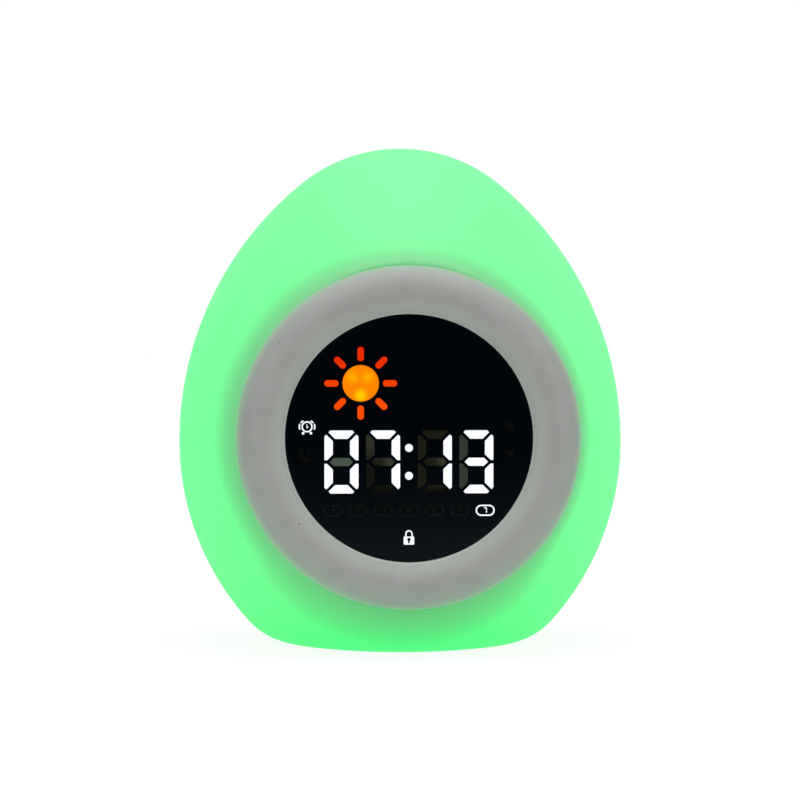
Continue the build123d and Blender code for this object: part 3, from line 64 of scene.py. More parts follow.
# The egg's arcs: a crown and a corner of set radius, joined by a flank and a belly that are
# tangent to them and upright at the egg's widest level
CROWN_RADIUS = 37.1 * MM
CORNER_RADIUS = 16.0 * MM
CROWN_Z = SHELL_TOP_Z - CROWN_RADIUS
BELLY_Z = SHELL_BASE_Z + 48.0 * MM
CORNER_Z = SHELL_BASE_Z + CORNER_RADIUS
CORNER_X = 24.3 * MM


def tangent_radius(side, rise, radius):
    """The radius of an arc, upright at its start, that ends tangent to an arc of a given radius
    whose centre lies side inward and rise away."""
    return (side ** 2 + rise ** 2 - radius ** 2) / (2 * (side - radius))


FLANK_RADIUS = tangent_radius(EGG_RADIUS, CROWN_Z - BELLY_Z, CROWN_RADIUS)
BELLY_RADIUS = tangent_radius(EGG_RADIUS - CORNER_X, BELLY_Z - CORNER_Z, CORNER_RADIUS)
FLANK_X = EGG_RADIUS - FLANK_RADIUS
BELLY_X = EGG_RADIUS - BELLY_RADIUS
CORNER_END = math.atan2(CORNER_Z - BELLY_Z, CORNER_X - BELLY_X)
FLANK_END = math.atan2(CROWN_Z - BELLY_Z, -FLANK_X)

# Shell, ring and window details
SHELL_WALL = 2.2 * MM
SHELL_FRONT_Y = -41.25 * MM
COLLAR_SINK = 0.33 * MM
COLLAR_OVERRUN = math.radians(2.6)
COLLAR_REACH = EGG_RADIUS - COLLAR_SINK
COLLAR_FLARE = ((RING_RADIUS ** 2 + SHELL_FRONT_Y ** 2 - COLLAR_REACH ** 2)
                / (2 * (COLLAR_REACH - RING_RADIUS)))
COLLAR_TURN = math.atan2(-SHELL_FRONT_Y, RING_RADIUS + COLLAR_FLARE) + COLLAR_OVERRUN
COLLAR_BLEND = 3.0 * MM
COLLAR_EDGE = 0.8 * MM
COLLAR_BORE = 35.7 * MM
COVER_OPENING = 30.15 * MM
BASE_OPENING = 24.5 * MM
RING_SEAT_Y = -41.5 * MM
LIP_RADIUS = 28.0 * MM
LIP_Y = -44.9 * MM
LIP_ROUND = 0.35 * MM
LIP_THICKNESS = 1.15 * MM
SKIRT_INNER = 29.65 * MM
SKIRT_OUTER = 35.4 * MM
WINDOW_EDGE_GAP = 0.4 * MM
WINDOW_EDGE_ROUND = 0.25 * MM
WINDOW_PRINT_GAP = 0.03 * MM

# Mesh building
WELD_DISTANCE = 1e-7
SMALLEST_RADIUS = 1e-6
HALVINGS = 40

# ---- Mesh helpers ---------------------------------------------------------------------------

def add_mesh(name, points, faces, body, node):
    """A smooth mesh object at the origin that replaces one node and rides on its body."""
    mesh = bpy.data.meshes.new(name)
    mesh.from_pydata(points.tolist(), [], faces.tolist())
    mesh.validate()
    build = bmesh.new()
    build.from_mesh(mesh)
    bmesh.ops.remove_doubles(build, verts=build.verts, dist=WELD_DISTANCE)
    bmesh.ops.recalc_face_normals(build, faces=build.faces)
    build.to_mesh(mesh)
    build.free()
    mesh.shade_smooth()
    piece = bpy.data.objects.new(name, mesh)
    bpy.context.scene.collection.objects.link(piece)
    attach(piece, body)
    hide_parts(node)
    return piece


def grid_faces(rows, columns):
    """Quads between neighbouring rows of a grid whose columns close on themselves."""
    row, column = np.meshgrid(np.arange(rows - 1), np.arange(columns), indexing="ij")
    after = (column + 1) % columns
    quads = [row * columns + column, row * columns + after,
             (row + 1) * columns + after, (row + 1) * columns + column]
    return np.stack(quads, axis=-1).reshape(-1, 4)


def arc(centre, radius, start, end, steps):
    """Points centre + radius * (cos a, sin a) for a from start to end, in degrees."""
    angle = np.radians(np.linspace(start, end, steps))
    return np.stack([centre[0] + radius * np.cos(angle), centre[1] + radius * np.sin(angle)], axis=1)


def last_inside(low, high, inside):
    """The furthest distance from low towards high that is still inside, by halving the span."""
    for _ in range(HALVINGS):
        middle = (low + high) / 2
        still = inside(middle)
        low = np.where(still, middle, low)
        high = np.where(still, high, middle)
    return low


def turned_points(profile, columns):
    """Each (radius, depth) of the profile carried round the display's axis:
    x = radius cos a, y = depth, z = axis height + radius sin a."""
    angle = np.linspace(0, 2 * math.pi, columns, endpoint=False)
    x = profile[:, 0, None] * np.cos(angle)
    z = AXIS_Z + profile[:, 0, None] * np.sin(angle)
    y = np.repeat(profile[:, 1, None], columns, axis=1)
    return np.stack([x, y, z], axis=-1).reshape(-1, 3)


# ---- Shell ----------------------------------------------------------------------------------

def egg_distance(points):
    """Distance of points from the egg's surface, below zero inside. The outline is four tangent
    arcs and a flat base, and each owns the points seen from its centre between its end normals."""
    radius = np.hypot(points[..., 0], points[..., 1])
    height = points[..., 2]
    crown = np.hypot(radius, height - CROWN_Z) - CROWN_RADIUS
    flank = np.hypot(radius - FLANK_X, height - BELLY_Z) - FLANK_RADIUS
    belly = np.hypot(radius - BELLY_X, height - BELLY_Z) - BELLY_RADIUS
    corner = np.hypot(radius - CORNER_X, height - CORNER_Z) - CORNER_RADIUS
    in_crown = np.arctan2(height - CROWN_Z, radius) >= FLANK_END
    in_belly = np.arctan2(height - BELLY_Z, radius - BELLY_X) >= CORNER_END
    owned = [in_crown, height >= BELLY_Z, in_belly, radius > CORNER_X]
    return np.select(owned, [crown, flank, belly, corner], SHELL_BASE_Z - height)


def collar_distance(points):
    """Distance from the collar: the space outside a circle that is turned round the display's
    axis, so its section is a concave quarter that leaves the ring's edge straight backwards."""
    radius = np.hypot(points[..., 0], points[..., 2] - AXIS_Z)
    depth = points[..., 1] - SHELL_FRONT_Y
    flare = COLLAR_FLARE - np.hypot(radius - RING_RADIUS - COLLAR_FLARE, depth)
    return np.maximum(flare, depth - COLLAR_FLARE * math.sin(COLLAR_TURN))


def soft_min(a, b, blend):
    """The smaller of two distances, with the corner between them rounded over a blend width."""
    near = np.maximum(blend - np.abs(a - b), 0) / blend
    return np.minimum(a, b) - near ** 2 * blend / 4


def shell_distance(points):
    """The egg joined softly to its collar, then cut flat where the ring seats."""
    joined = soft_min(egg_distance(points), collar_distance(points), COLLAR_BLEND)
    return -soft_min(-joined, points[..., 1] - SHELL_FRONT_Y, COLLAR_EDGE)


def cover_edge_depth(angle):
    """How far back the egg's surface stands on the cover opening's circle, by halving."""
    x = COVER_OPENING * np.cos(angle)
    z = AXIS_Z + COVER_OPENING * np.sin(angle)
    low = np.full_like(angle, 0.0)
    high = np.full_like(angle, 2 * EGG_RADIUS)
    return last_inside(low, high, lambda depth: egg_distance(np.stack([x, depth, z], axis=-1)) < 0)


def make_shell():
    """The shell as rays from a point on the display's axis: the direction turns by a polar angle
    from the ring's bore to the cover's opening, and by an azimuth about the display's axis. The
    rows crowd toward the ring as a power of their share. Each ray's length is where the shell
    distance crosses zero, found by halving."""
    rows, columns, crowding = 150, 300, 1.5
    nearest, furthest = 0.3 * EGG_RADIUS, 1.6 * EGG_RADIUS
    azimuth = np.linspace(0, 2 * math.pi, columns, endpoint=False)
    first = math.atan2(COLLAR_BORE, -SHELL_FRONT_Y)
    last = math.pi - np.arctan2(COVER_OPENING, cover_edge_depth(azimuth))
    share = np.linspace(0, 1, rows)[:, None] ** crowding
    polar = first + (last - first) * share
    ray = np.stack([np.sin(polar) * np.cos(azimuth), -np.cos(polar) + 0 * azimuth,
                    np.sin(polar) * np.sin(azimuth)], axis=-1)
    centre = np.array([0, 0, AXIS_Z])
    length = last_inside(np.full(polar.shape, nearest), np.full(polar.shape, furthest),
                         lambda reach: shell_distance(centre + ray * reach[..., None]) < 0)
    points = (centre + ray * length[..., None]).reshape(-1, 3)
    faces = grid_faces(rows, columns)
    # The base opening: faces wholly inside it go, and what is left of its edge moves onto it
    reach = np.hypot(points[:, 0], points[:, 1])
    inside = (reach < BASE_OPENING) & (points[:, 2] < SHELL_BASE_Z + SHELL_WALL)
    faces = faces[~inside[faces].all(axis=1)]
    grow = np.where(inside, BASE_OPENING / np.maximum(reach, SMALLEST_RADIUS), 1.0)
    points[:, :2] *= grow[:, None]
    used, faces = np.unique(faces, return_inverse=True)
    shell = add_mesh("shell", points[used], faces.reshape(-1, 4), "case", "diffuser_shell")
    wall = shell.modifiers.new("wall", "SOLIDIFY")
    wall.thickness = SHELL_WALL
    wall.offset = -1
    wall.use_even_offset = True
    return shell


# ---- Ring and window ------------------------------------------------------------------------

def make_ring():
    """The ring's section as one closed loop: a quarter-round outside, a larger arc that slopes
    in from the crest, a rounded lip, the step for the window and a skirt behind."""
    roll = RING_SEAT_Y - RING_CREST_Y
    crest = RING_RADIUS - roll
    run = crest - LIP_RADIUS
    drop = LIP_Y - RING_CREST_Y
    slope = (run ** 2 + drop ** 2) / (2 * drop)
    slope_end = math.degrees(math.asin((run - LIP_ROUND) / slope))
    step_y = LIP_Y + LIP_THICKNESS
    roll_steps, slope_steps, lip_steps, lip_start = 40, 28, 8, -110
    profile = np.concatenate([
        arc((crest, RING_SEAT_Y), roll, 0, -90, roll_steps),
        arc((crest, RING_CREST_Y + slope), slope, -90, -90 - slope_end, slope_steps)[1:],
        arc((LIP_RADIUS + LIP_ROUND, LIP_Y + LIP_ROUND), LIP_ROUND, lip_start, -180, lip_steps),
        [(LIP_RADIUS, step_y), (SKIRT_INNER, step_y), (SKIRT_INNER, RING_BACK_Y),
         (SKIRT_OUTER, RING_BACK_Y), (SKIRT_OUTER, RING_SEAT_Y), (RING_RADIUS, RING_SEAT_Y)],
    ])
    columns = 360
    points = turned_points(profile, columns)
    faces = grid_faces(len(profile), columns)
    ring = add_mesh("ring", points, faces, "case", "front_bezel")
    ring.data.set_sharp_from_angle(angle=math.radians(50))
    return ring


def make_window():
    """A flat disc with a rounded front edge and a thinner flange behind it. Its back stops just
    short of the print, so the two faces don't share one plane."""
    front, back = WINDOW_LOW[1], WINDOW_HIGH[1] - WINDOW_PRINT_GAP
    radius = LIP_RADIUS - WINDOW_EDGE_GAP
    flange = (WINDOW_HIGH[0] - WINDOW_LOW[0]) / 2
    middle = (front + back) / 2
    flat = radius - 2 * WINDOW_EDGE_ROUND
    edge_steps = 8
    edge = arc((radius - WINDOW_EDGE_ROUND, front + WINDOW_EDGE_ROUND), WINDOW_EDGE_ROUND, -90, 0, edge_steps)
    profile = np.concatenate([
        [(0, front), (radius / 2, front), (flat, front)], edge,
        [(radius, middle), (flange, middle), (flange, back), (radius / 2, back), (0, back)],
    ])
    columns = 240
    points = turned_points(profile, columns)
    faces = grid_faces(len(profile), columns)
    window = add_mesh("window", points, faces, "case", "display_window")
    window.data.set_sharp_from_angle(angle=math.radians(40))
    return window


# ---- Buttons --------------------------------------------------------------------------------

BUTTON_EDGE_ROUND = 0.6 * MM
BUTTON_PROUD = 0.7 * MM
BUTTON_FLANGE_REACH = 0.9 * MM
BUTTON_FLANGE_THICKNESS = 1.0 * MM
BUTTON_STEM_RADIUS = 1.6 * MM
BUTTON_STEM_LENGTH = 2.8 * MM
BUTTON_COLUMNS = 96


def dome_depth(x, z):
    """How far back the button tops stand: the egg's surface moved out by the buttons' height."""
    upper = FLANK_X + np.sqrt((FLANK_RADIUS + BUTTON_PROUD) ** 2 - (z - BELLY_Z) ** 2)
    lower = BELLY_X + np.sqrt((BELLY_RADIUS + BUTTON_PROUD) ** 2 - (z - BELLY_Z) ** 2)
    reach = np.where(z >= BELLY_Z, upper, lower)
    return np.sqrt(reach ** 2 - x ** 2)


def button_centre(node):
    """X and Z of the button's axis."""
    low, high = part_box(node)
    return (low[0] + high[0]) / 2, (low[2] + high[2]) / 2


def make_button(node):
    """Rings about the button's own axis: a dome that follows the egg, a rounded edge, a straight
    side, then the flange and the stem behind."""
    low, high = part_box(node)
    centre_x, centre_z = button_centre(node)
    flange = (high[0] - low[0]) / 2
    cap = flange - BUTTON_FLANGE_REACH
    flange_front = low[1] + BUTTON_STEM_LENGTH
    flange_back = flange_front + BUTTON_FLANGE_THICKNESS
    flat_rings, edge_rings = 12, 9
    flat = np.linspace(0, cap - BUTTON_EDGE_ROUND, flat_rings)
    turn = np.radians(np.linspace(0, 90, edge_rings))[1:]
    top_radius = np.concatenate([flat, cap - BUTTON_EDGE_ROUND * (1 - np.sin(turn))])
    top_drop = np.concatenate([0 * flat, BUTTON_EDGE_ROUND * (1 - np.cos(turn))])
    angle = np.linspace(0, 2 * math.pi, BUTTON_COLUMNS, endpoint=False)
    x = centre_x + top_radius[:, None] * np.cos(angle)
    z = centre_z + top_radius[:, None] * np.sin(angle)
    top = np.stack([x, dome_depth(x, z) - top_drop[:, None], z], axis=-1)
    below = np.array([(cap, flange_back), (flange, flange_back), (flange, flange_front),
                      (BUTTON_STEM_RADIUS, flange_front), (BUTTON_STEM_RADIUS, low[1]), (0, low[1])])
    x = centre_x + below[:, 0, None] * np.cos(angle)
    z = centre_z + below[:, 0, None] * np.sin(angle)
    rest = np.stack([x, np.repeat(below[:, 1, None], BUTTON_COLUMNS, axis=1), z], axis=-1)
    points = np.concatenate([top, rest]).reshape(-1, 3)
    faces = grid_faces(len(top) + len(rest), BUTTON_COLUMNS)
    piece = add_mesh(node.replace("_button", "_cap"), points, faces, node, node)
    piece.data.set_sharp_from_angle(angle=math.radians(50))
    return piece


# ---- Node helpers ---------------------------------------------------------------------------

BLACK = (0.0, 0.0, 0.0, 1.0)
WHITE = (1.0, 1.0, 1.0, 1.0)
NOISE_MIDDLE = (0.3, 0.7)


def place(tree, kind, **settings):
    """One shader node, with its plain settings given by name."""
    made = tree.nodes.new("ShaderNode" + kind)
    for name, value in settings.items():
        setattr(made, name, value)
    return made


def feed(tree, socket, value):
    """Joins an output to a socket, or sets the socket's plain value."""
    if isinstance(value, bpy.types.NodeSocket):
        tree.links.new(value, socket)
    else:
        socket.default_value = value


def calc(tree, operation, *values, clamp=False):
    """A Math node on numbers or outputs."""
    made = place(tree, "Math", operation=operation, use_clamp=clamp)
    for socket, value in zip(made.inputs, values):
        feed(tree, socket, value)
    return made.outputs[0]


def ramp(tree, value, start, end, low=0.0, high=1.0, smooth=True):
    """The value mapped from start..end to low..high, held at its ends."""
    kind = "SMOOTHSTEP" if smooth else "LINEAR"
    made = place(tree, "MapRange", interpolation_type=kind, clamp=True)
    for name, number in (("From Min", start), ("From Max", end), ("To Min", low), ("To Max", high)):
        feed(tree, made.inputs[name], number)
    feed(tree, made.inputs["Value"], value)
    return made.outputs["Result"]


def blend(tree, factor, first, second):
    """Two colours mixed by a factor."""
    made = place(tree, "Mix", data_type="RGBA", blend_type="MIX")
    feed(tree, made.inputs["Factor"], factor)
    feed(tree, made.inputs["A"], first)
    feed(tree, made.inputs["B"], second)
    return made.outputs["Result"]


def object_point(tree):
    """The object coordinates."""
    return place(tree, "TexCoord").outputs["Object"]


def object_axes(tree):
    """X, Y and Z of the object coordinates."""
    parts = place(tree, "SeparateXYZ")
    tree.links.new(object_point(tree), parts.inputs[0])
    return parts.outputs[0], parts.outputs[1], parts.outputs[2]


def new_group(name, inputs, outputs):
    """An empty node group with named number inputs and outputs, and its two end nodes."""
    tree = bpy.data.node_groups.new(name, "ShaderNodeTree")
    for title, default in inputs:
        socket = tree.interface.new_socket(name=title, in_out="INPUT", socket_type="NodeSocketFloat")
        socket.default_value = default
    for title in outputs:
        tree.interface.new_socket(name=title, in_out="OUTPUT", socket_type="NodeSocketFloat")
    return tree, tree.nodes.new("NodeGroupInput"), tree.nodes.new("NodeGroupOutput")


def use_group(tree, group, **values):
    """The group placed in a material, with its inputs given by name."""
    made = tree.nodes.new("ShaderNodeGroup")
    made.node_tree = group
    for name, value in values.items():
        feed(tree, made.inputs[name.replace("_", " ").capitalize()], value)
    return made.outputs


def finish_group(tree, source, result, tone, height, wear):
    """Tone from the middle of a noise's range, Height as it is, and Roughness from Smooth to Rough."""
    span = calc(tree, "SUBTRACT", source.outputs["Rough"], source.outputs["Smooth"])
    feed(tree, result.inputs["Tone"], ramp(tree, tone, *NOISE_MIDDLE))
    feed(tree, result.inputs["Height"], height)
    feed(tree, result.inputs["Roughness"], calc(tree, "MULTIPLY_ADD", wear, span, source.outputs["Smooth"]))


def grain_group():
    """Moulded grain: Tone drifts slowly over the surface, Height is fine grain for a bump, and
    Roughness runs from Smooth to Rough with both."""
    inputs = [("Size", 0.001), ("Smooth", 0.4), ("Rough", 0.6)]
    tree, source, result = new_group("grain", inputs, ["Tone", "Height", "Roughness"])
    slow_scale, fine_share = 0.06, 0.4
    point = object_point(tree)
    fine = place(tree, "TexNoise", noise_dimensions="3D")
    slow = place(tree, "TexNoise", noise_dimensions="3D")
    per_size = calc(tree, "DIVIDE", 1.0, source.outputs["Size"])
    feed(tree, fine.inputs["Scale"], per_size)
    feed(tree, fine.inputs["Detail"], 3.0)
    feed(tree, slow.inputs["Scale"], calc(tree, "MULTIPLY", per_size, slow_scale))
    feed(tree, slow.inputs["Detail"], 2.0)
    for noise in (fine, slow):
        tree.links.new(point, noise.inputs["Vector"])
    slow_part = calc(tree, "MULTIPLY", slow.outputs[0], 1 - fine_share)
    mixed = calc(tree, "MULTIPLY_ADD", fine.outputs[0], fine_share, slow_part)
    finish_group(tree, source, result, slow.outputs[0], fine.outputs[0], mixed)
    return tree


def brushed_group():
    """Drawn or rolled metal: noise stretched along X, with the grain group's outputs."""
    inputs = [("Size", 0.0003), ("Smooth", 0.2), ("Rough", 0.4)]
    tree, source, result = new_group("brushed", inputs, ["Tone", "Height", "Roughness"])
    stretch = place(tree, "Mapping")
    stretch.inputs["Scale"].default_value = (0.06, 1.0, 1.0)
    lines = place(tree, "TexNoise", noise_dimensions="3D")
    tree.links.new(object_point(tree), stretch.inputs["Vector"])
    tree.links.new(stretch.outputs[0], lines.inputs["Vector"])
    feed(tree, lines.inputs["Scale"], calc(tree, "DIVIDE", 1.0, source.outputs["Size"]))
    feed(tree, lines.inputs["Detail"], 4.0)
    finish_group(tree, source, result, lines.outputs[0], lines.outputs[0], lines.outputs[0])
    return tree


def spot_group():
    """A round mask in the XZ plane: 1 within Inner of the centre, 0 past Outer. Distance is how far
    a point lies from the centre."""
    inputs = [("Centre x", 0.0), ("Centre z", 0.0), ("Inner", 0.001), ("Outer", 0.002)]
    tree, source, result = new_group("spot", inputs, ["Mask", "Distance"])
    x, _, z = object_axes(tree)
    across = calc(tree, "SUBTRACT", x, source.outputs["Centre x"])
    above = calc(tree, "SUBTRACT", z, source.outputs["Centre z"])
    squares = calc(tree, "MULTIPLY_ADD", above, above, calc(tree, "MULTIPLY", across, across))
    distance = calc(tree, "SQRT", squares)
    mask = ramp(tree, distance, source.outputs["Inner"], source.outputs["Outer"], 1.0, 0.0)
    feed(tree, result.inputs["Mask"], mask)
    feed(tree, result.inputs["Distance"], distance)
    return tree


def bar_group():
    """A bar mask in the XZ plane: 1 inside a box of half sizes Half x and Half z."""
    inputs = [("Centre x", 0.0), ("Centre z", 0.0), ("Half x", 0.001), ("Half z", 0.001)]
    tree, source, result = new_group("bar", inputs, ["Mask"])
    x, _, z = object_axes(tree)
    across = calc(tree, "ABSOLUTE", calc(tree, "SUBTRACT", x, source.outputs["Centre x"]))
    above = calc(tree, "ABSOLUTE", calc(tree, "SUBTRACT", z, source.outputs["Centre z"]))
    in_x = calc(tree, "LESS_THAN", across, source.outputs["Half x"])
    in_z = calc(tree, "LESS_THAN", above, source.outputs["Half z"])
    feed(tree, result.inputs["Mask"], calc(tree, "MULTIPLY", in_x, in_z))
    return tree


GRAIN = grain_group()
BRUSHED = brushed_group()
SPOT = spot_group()
BAR = bar_group()

# ---- Materials ------------------------------------------------------------------------------

BUMP_SHARE = 0.1
MOULDED = dict(size=0.35, smooth=0.5, rough=0.62, spread=0.03, depth=0.12)
LIGHT_GUIDE = dict(size=1.0, smooth=0.4, rough=0.55, depth=0.05, specular=0.0)
SOFT_LEAD = dict(size=0.5, smooth=0.35, rough=0.5)
SUN_STRENGTH = 3.0
DIGIT_DROP = 5.35 * MM


def start_material(name):
    """A new material with its shader, as (material, tree, shader)."""
    made = bpy.data.materials.new(name)
    made.use_nodes = True
    return made, made.node_tree, made.node_tree.nodes["Principled BSDF"]


def bump(tree, shader, height, depth, distance):
    """A bump from a height, of a given strength and real depth."""
    made = place(tree, "Bump")
    feed(tree, made.inputs["Strength"], depth)
    feed(tree, made.inputs["Distance"], distance)
    feed(tree, made.inputs["Height"], height)
    tree.links.new(made.outputs[0], shader.inputs["Normal"])


def shade(colour, factor):
    """The colour made lighter or darker by a factor, as RGBA."""
    return tuple(min(channel * factor, 1.0) for channel in colour) + (1.0,)


def surface(name, colour, group=None, size=1.0, smooth=0.4, rough=0.6, spread=0.08, depth=0.1,
            metallic=0.0, specular=0.5):
    """A material with drifting tone, varied roughness and a fine bump from one of the groups."""
    made, tree, shader = start_material(name)
    out = use_group(tree, group or GRAIN, size=size * MM, smooth=smooth, rough=rough)
    tint = blend(tree, out["Tone"], shade(colour, 1 - spread), shade(colour, 1 + spread))
    feed(tree, shader.inputs["Base Color"], tint)
    feed(tree, shader.inputs["Roughness"], out["Roughness"])
    shader.inputs["Metallic"].default_value = metallic
    shader.inputs["Specular IOR Level"].default_value = specular
    bump(tree, shader, out["Height"], depth, BUMP_SHARE * size * MM)
    return made, tree, shader


def plain(name, colour, *group, **values):
    """A surface material with nothing more on it."""
    return surface(name, colour, *group, **values)[0]


def base_colour(shader):
    """What now feeds the shader's base colour."""
    return shader.inputs["Base Color"].links[0].from_socket


def glow(tree, shader, colour, strength=1.0):
    """Light given off by the surface, in a colour that changes over it."""
    feed(tree, shader.inputs["Emission Color"], colour)
    shader.inputs["Emission Strength"].default_value = strength


def glow_shell():
    """Translucent shell lit from inside: the glow is full on open walls and dim where the ring and its
    carrier shade it, a painted shade that reaches furthest below the ring and least to the right of it.
    Painted light also shifts the green: bluer high up for light from above, a little redder at the foot
    to lift it, and paler toward the left and right above the foot, a painted sheen."""
    made, tree, shader = surface("glow_shell", (0.12, 0.12, 0.12), size=0.5, smooth=0.55, rough=0.7,
                                 spread=0.03, depth=0.04, specular=0.25)
    # Painted light: the top's green is bluer for light from above, the foot's green has a little red to lift
    # the dim foot, and the paler side green is a painted sheen.
    foot_lift_green, top_light_green = (0.01, 0.9, 0.14, 1.0), (0.0, 0.9, 0.155, 1.0)
    sheen_green = (0.035, 0.9, 0.185, 1.0)
    shade_width, more_below, less_right = 5.6 * MM, 4.3 * MM, -1.9 * MM
    shade_power, least_glow = 1.3, 0.465
    x, y, z = object_axes(tree)
    spot = use_group(tree, SPOT, centre_z=AXIS_Z)
    out = calc(tree, "SUBTRACT", spot["Distance"], RING_RADIUS)
    below = ramp(tree, z, AXIS_Z - 42 * MM, AXIS_Z - 22 * MM, more_below, 0.0)
    right = ramp(tree, x, 10 * MM, 38 * MM, 0.0, less_right)
    width = calc(tree, "ADD", calc(tree, "ADD", below, right), shade_width)
    lift = calc(tree, "POWER", calc(tree, "DIVIDE", out, width, clamp=True), shade_power)
    lit_share = ramp(tree, lift, 0.0, 1.0, least_glow, 1.0, smooth=False)
    front = ramp(tree, y, -30 * MM, -5 * MM, 1.0, 0.0)
    dim = calc(tree, "MULTIPLY", calc(tree, "SUBTRACT", 1.0, lit_share), front)
    level = calc(tree, "SUBTRACT", 1.0, dim)
    # Painted light: the green turns from the foot's colour to the top's with height.
    height = ramp(tree, z, SHELL_BASE_Z + 5 * MM, SHELL_BASE_Z + 60 * MM)
    # Painted sheen: paler green toward the left and right, more on the right, fading out near the foot.
    left_sheen = ramp(tree, x, -45 * MM, -15 * MM, 0.5, 0.0)
    right_sheen = ramp(tree, x, 15 * MM, 42 * MM, 0.0, 0.9)
    above_foot = ramp(tree, z, SHELL_BASE_Z + 12 * MM, SHELL_BASE_Z + 45 * MM)
    sheen_share = calc(tree, "MULTIPLY", calc(tree, "ADD", left_sheen, right_sheen), above_foot)
    full = blend(tree, sheen_share, blend(tree, height, foot_lift_green, top_light_green), sheen_green)
    glow(tree, shader, blend(tree, level, BLACK, full))
    return made


def ring_grey():
    """Soft grey plastic with a fine spark finish and a few dark specks. Painted light makes the inner
    slope a little lighter and puts a painted highlight on the lip. The shell's green light is painted on
    its outer edge, and that painted light spills further in low down."""
    made, tree, shader = surface("ring_grey", (0.21, 0.215, 0.205), specular=0.3, **MOULDED)
    lip_highlight_grey, speck_grey = (0.292, 0.322, 0.287, 1.0), (0.03, 0.03, 0.03, 1.0)
    spill_green, edge_green = (0.016, 0.062, 0.024, 1.0), (0.0, 0.272, 0.051, 1.0)
    speck_pitch, speck_size = 6 * MM, 0.03
    _, _, z = object_axes(tree)
    cells = place(tree, "TexVoronoi", feature="F1")
    cells.inputs["Scale"].default_value = 1 / speck_pitch
    tree.links.new(object_point(tree), cells.inputs["Vector"])
    speck = calc(tree, "LESS_THAN", cells.outputs["Distance"], speck_size)
    away = use_group(tree, SPOT, centre_z=AXIS_Z)["Distance"]
    # Painted light: the inner slope is lightened, and the lip gets a thin painted highlight.
    inner = ramp(tree, away, LIP_RADIUS + 1.2 * MM, LIP_RADIUS + 4.5 * MM, 0.4, 0.0)
    lip = ramp(tree, away, LIP_RADIUS + 0.3 * MM, LIP_RADIUS + 0.5 * MM, 0.6, 0.0)
    lighter = blend(tree, calc(tree, "ADD", inner, lip, clamp=True), base_colour(shader), lip_highlight_grey)
    feed(tree, shader.inputs["Base Color"], blend(tree, speck, lighter, speck_grey))
    # Painted light: the shell's green glow lies on the ring's outer edge, strongest low down, and a fainter
    # painted spill reaches further in below the middle.
    edge = ramp(tree, away, RING_RADIUS - 2.2 * MM, RING_RADIUS, smooth=False)
    low = ramp(tree, z, AXIS_Z - 36 * MM, AXIS_Z - 4 * MM, 1.0, 0.59)
    caught = calc(tree, "MULTIPLY", calc(tree, "POWER", edge, 2.0), low)
    slope = ramp(tree, away, RING_RADIUS - 6.5 * MM, RING_RADIUS - 1.8 * MM)
    under = ramp(tree, z, AXIS_Z - 36 * MM, AXIS_Z + 5 * MM, 1.0, 0.1, smooth=False)
    spill = blend(tree, calc(tree, "MULTIPLY", slope, under), BLACK, spill_green)
    glow(tree, shader, blend(tree, caught, spill, edge_green))
    return made


def smoked_window():
    """Smoked acrylic: glass whose tint lets the lit segments through and keeps the rest dark."""
    made, tree, shader = start_material("smoked_window")
    dark_smoke, pale_smoke = (0.30, 0.31, 0.33, 1.0), (0.32, 0.33, 0.35, 1.0)
    out = use_group(tree, GRAIN, size=3 * MM, smooth=0.01, rough=0.03)
    tint = blend(tree, out["Tone"], dark_smoke, pale_smoke)
    feed(tree, shader.inputs["Base Color"], tint)
    feed(tree, shader.inputs["Roughness"], out["Roughness"])
    shader.inputs["Transmission Weight"].default_value = 1.0
    shader.inputs["IOR"].default_value = 1.12
    return made


def lit_white():
    """Light guides glowing in a cool white, a little uneven."""
    colour, spread, size = (0.95, 0.98, 1.0), 0.05, 1.5
    made, tree, shader = surface("lit_white", colour, size=size, smooth=0.4, rough=0.55, spread=spread,
                                 depth=0.05)
    tone = use_group(tree, GRAIN, size=size * MM)["Tone"]
    glow(tree, shader, blend(tree, tone, shade(colour, 1 - spread), shade(colour, 1.0)), 3.4)
    return made


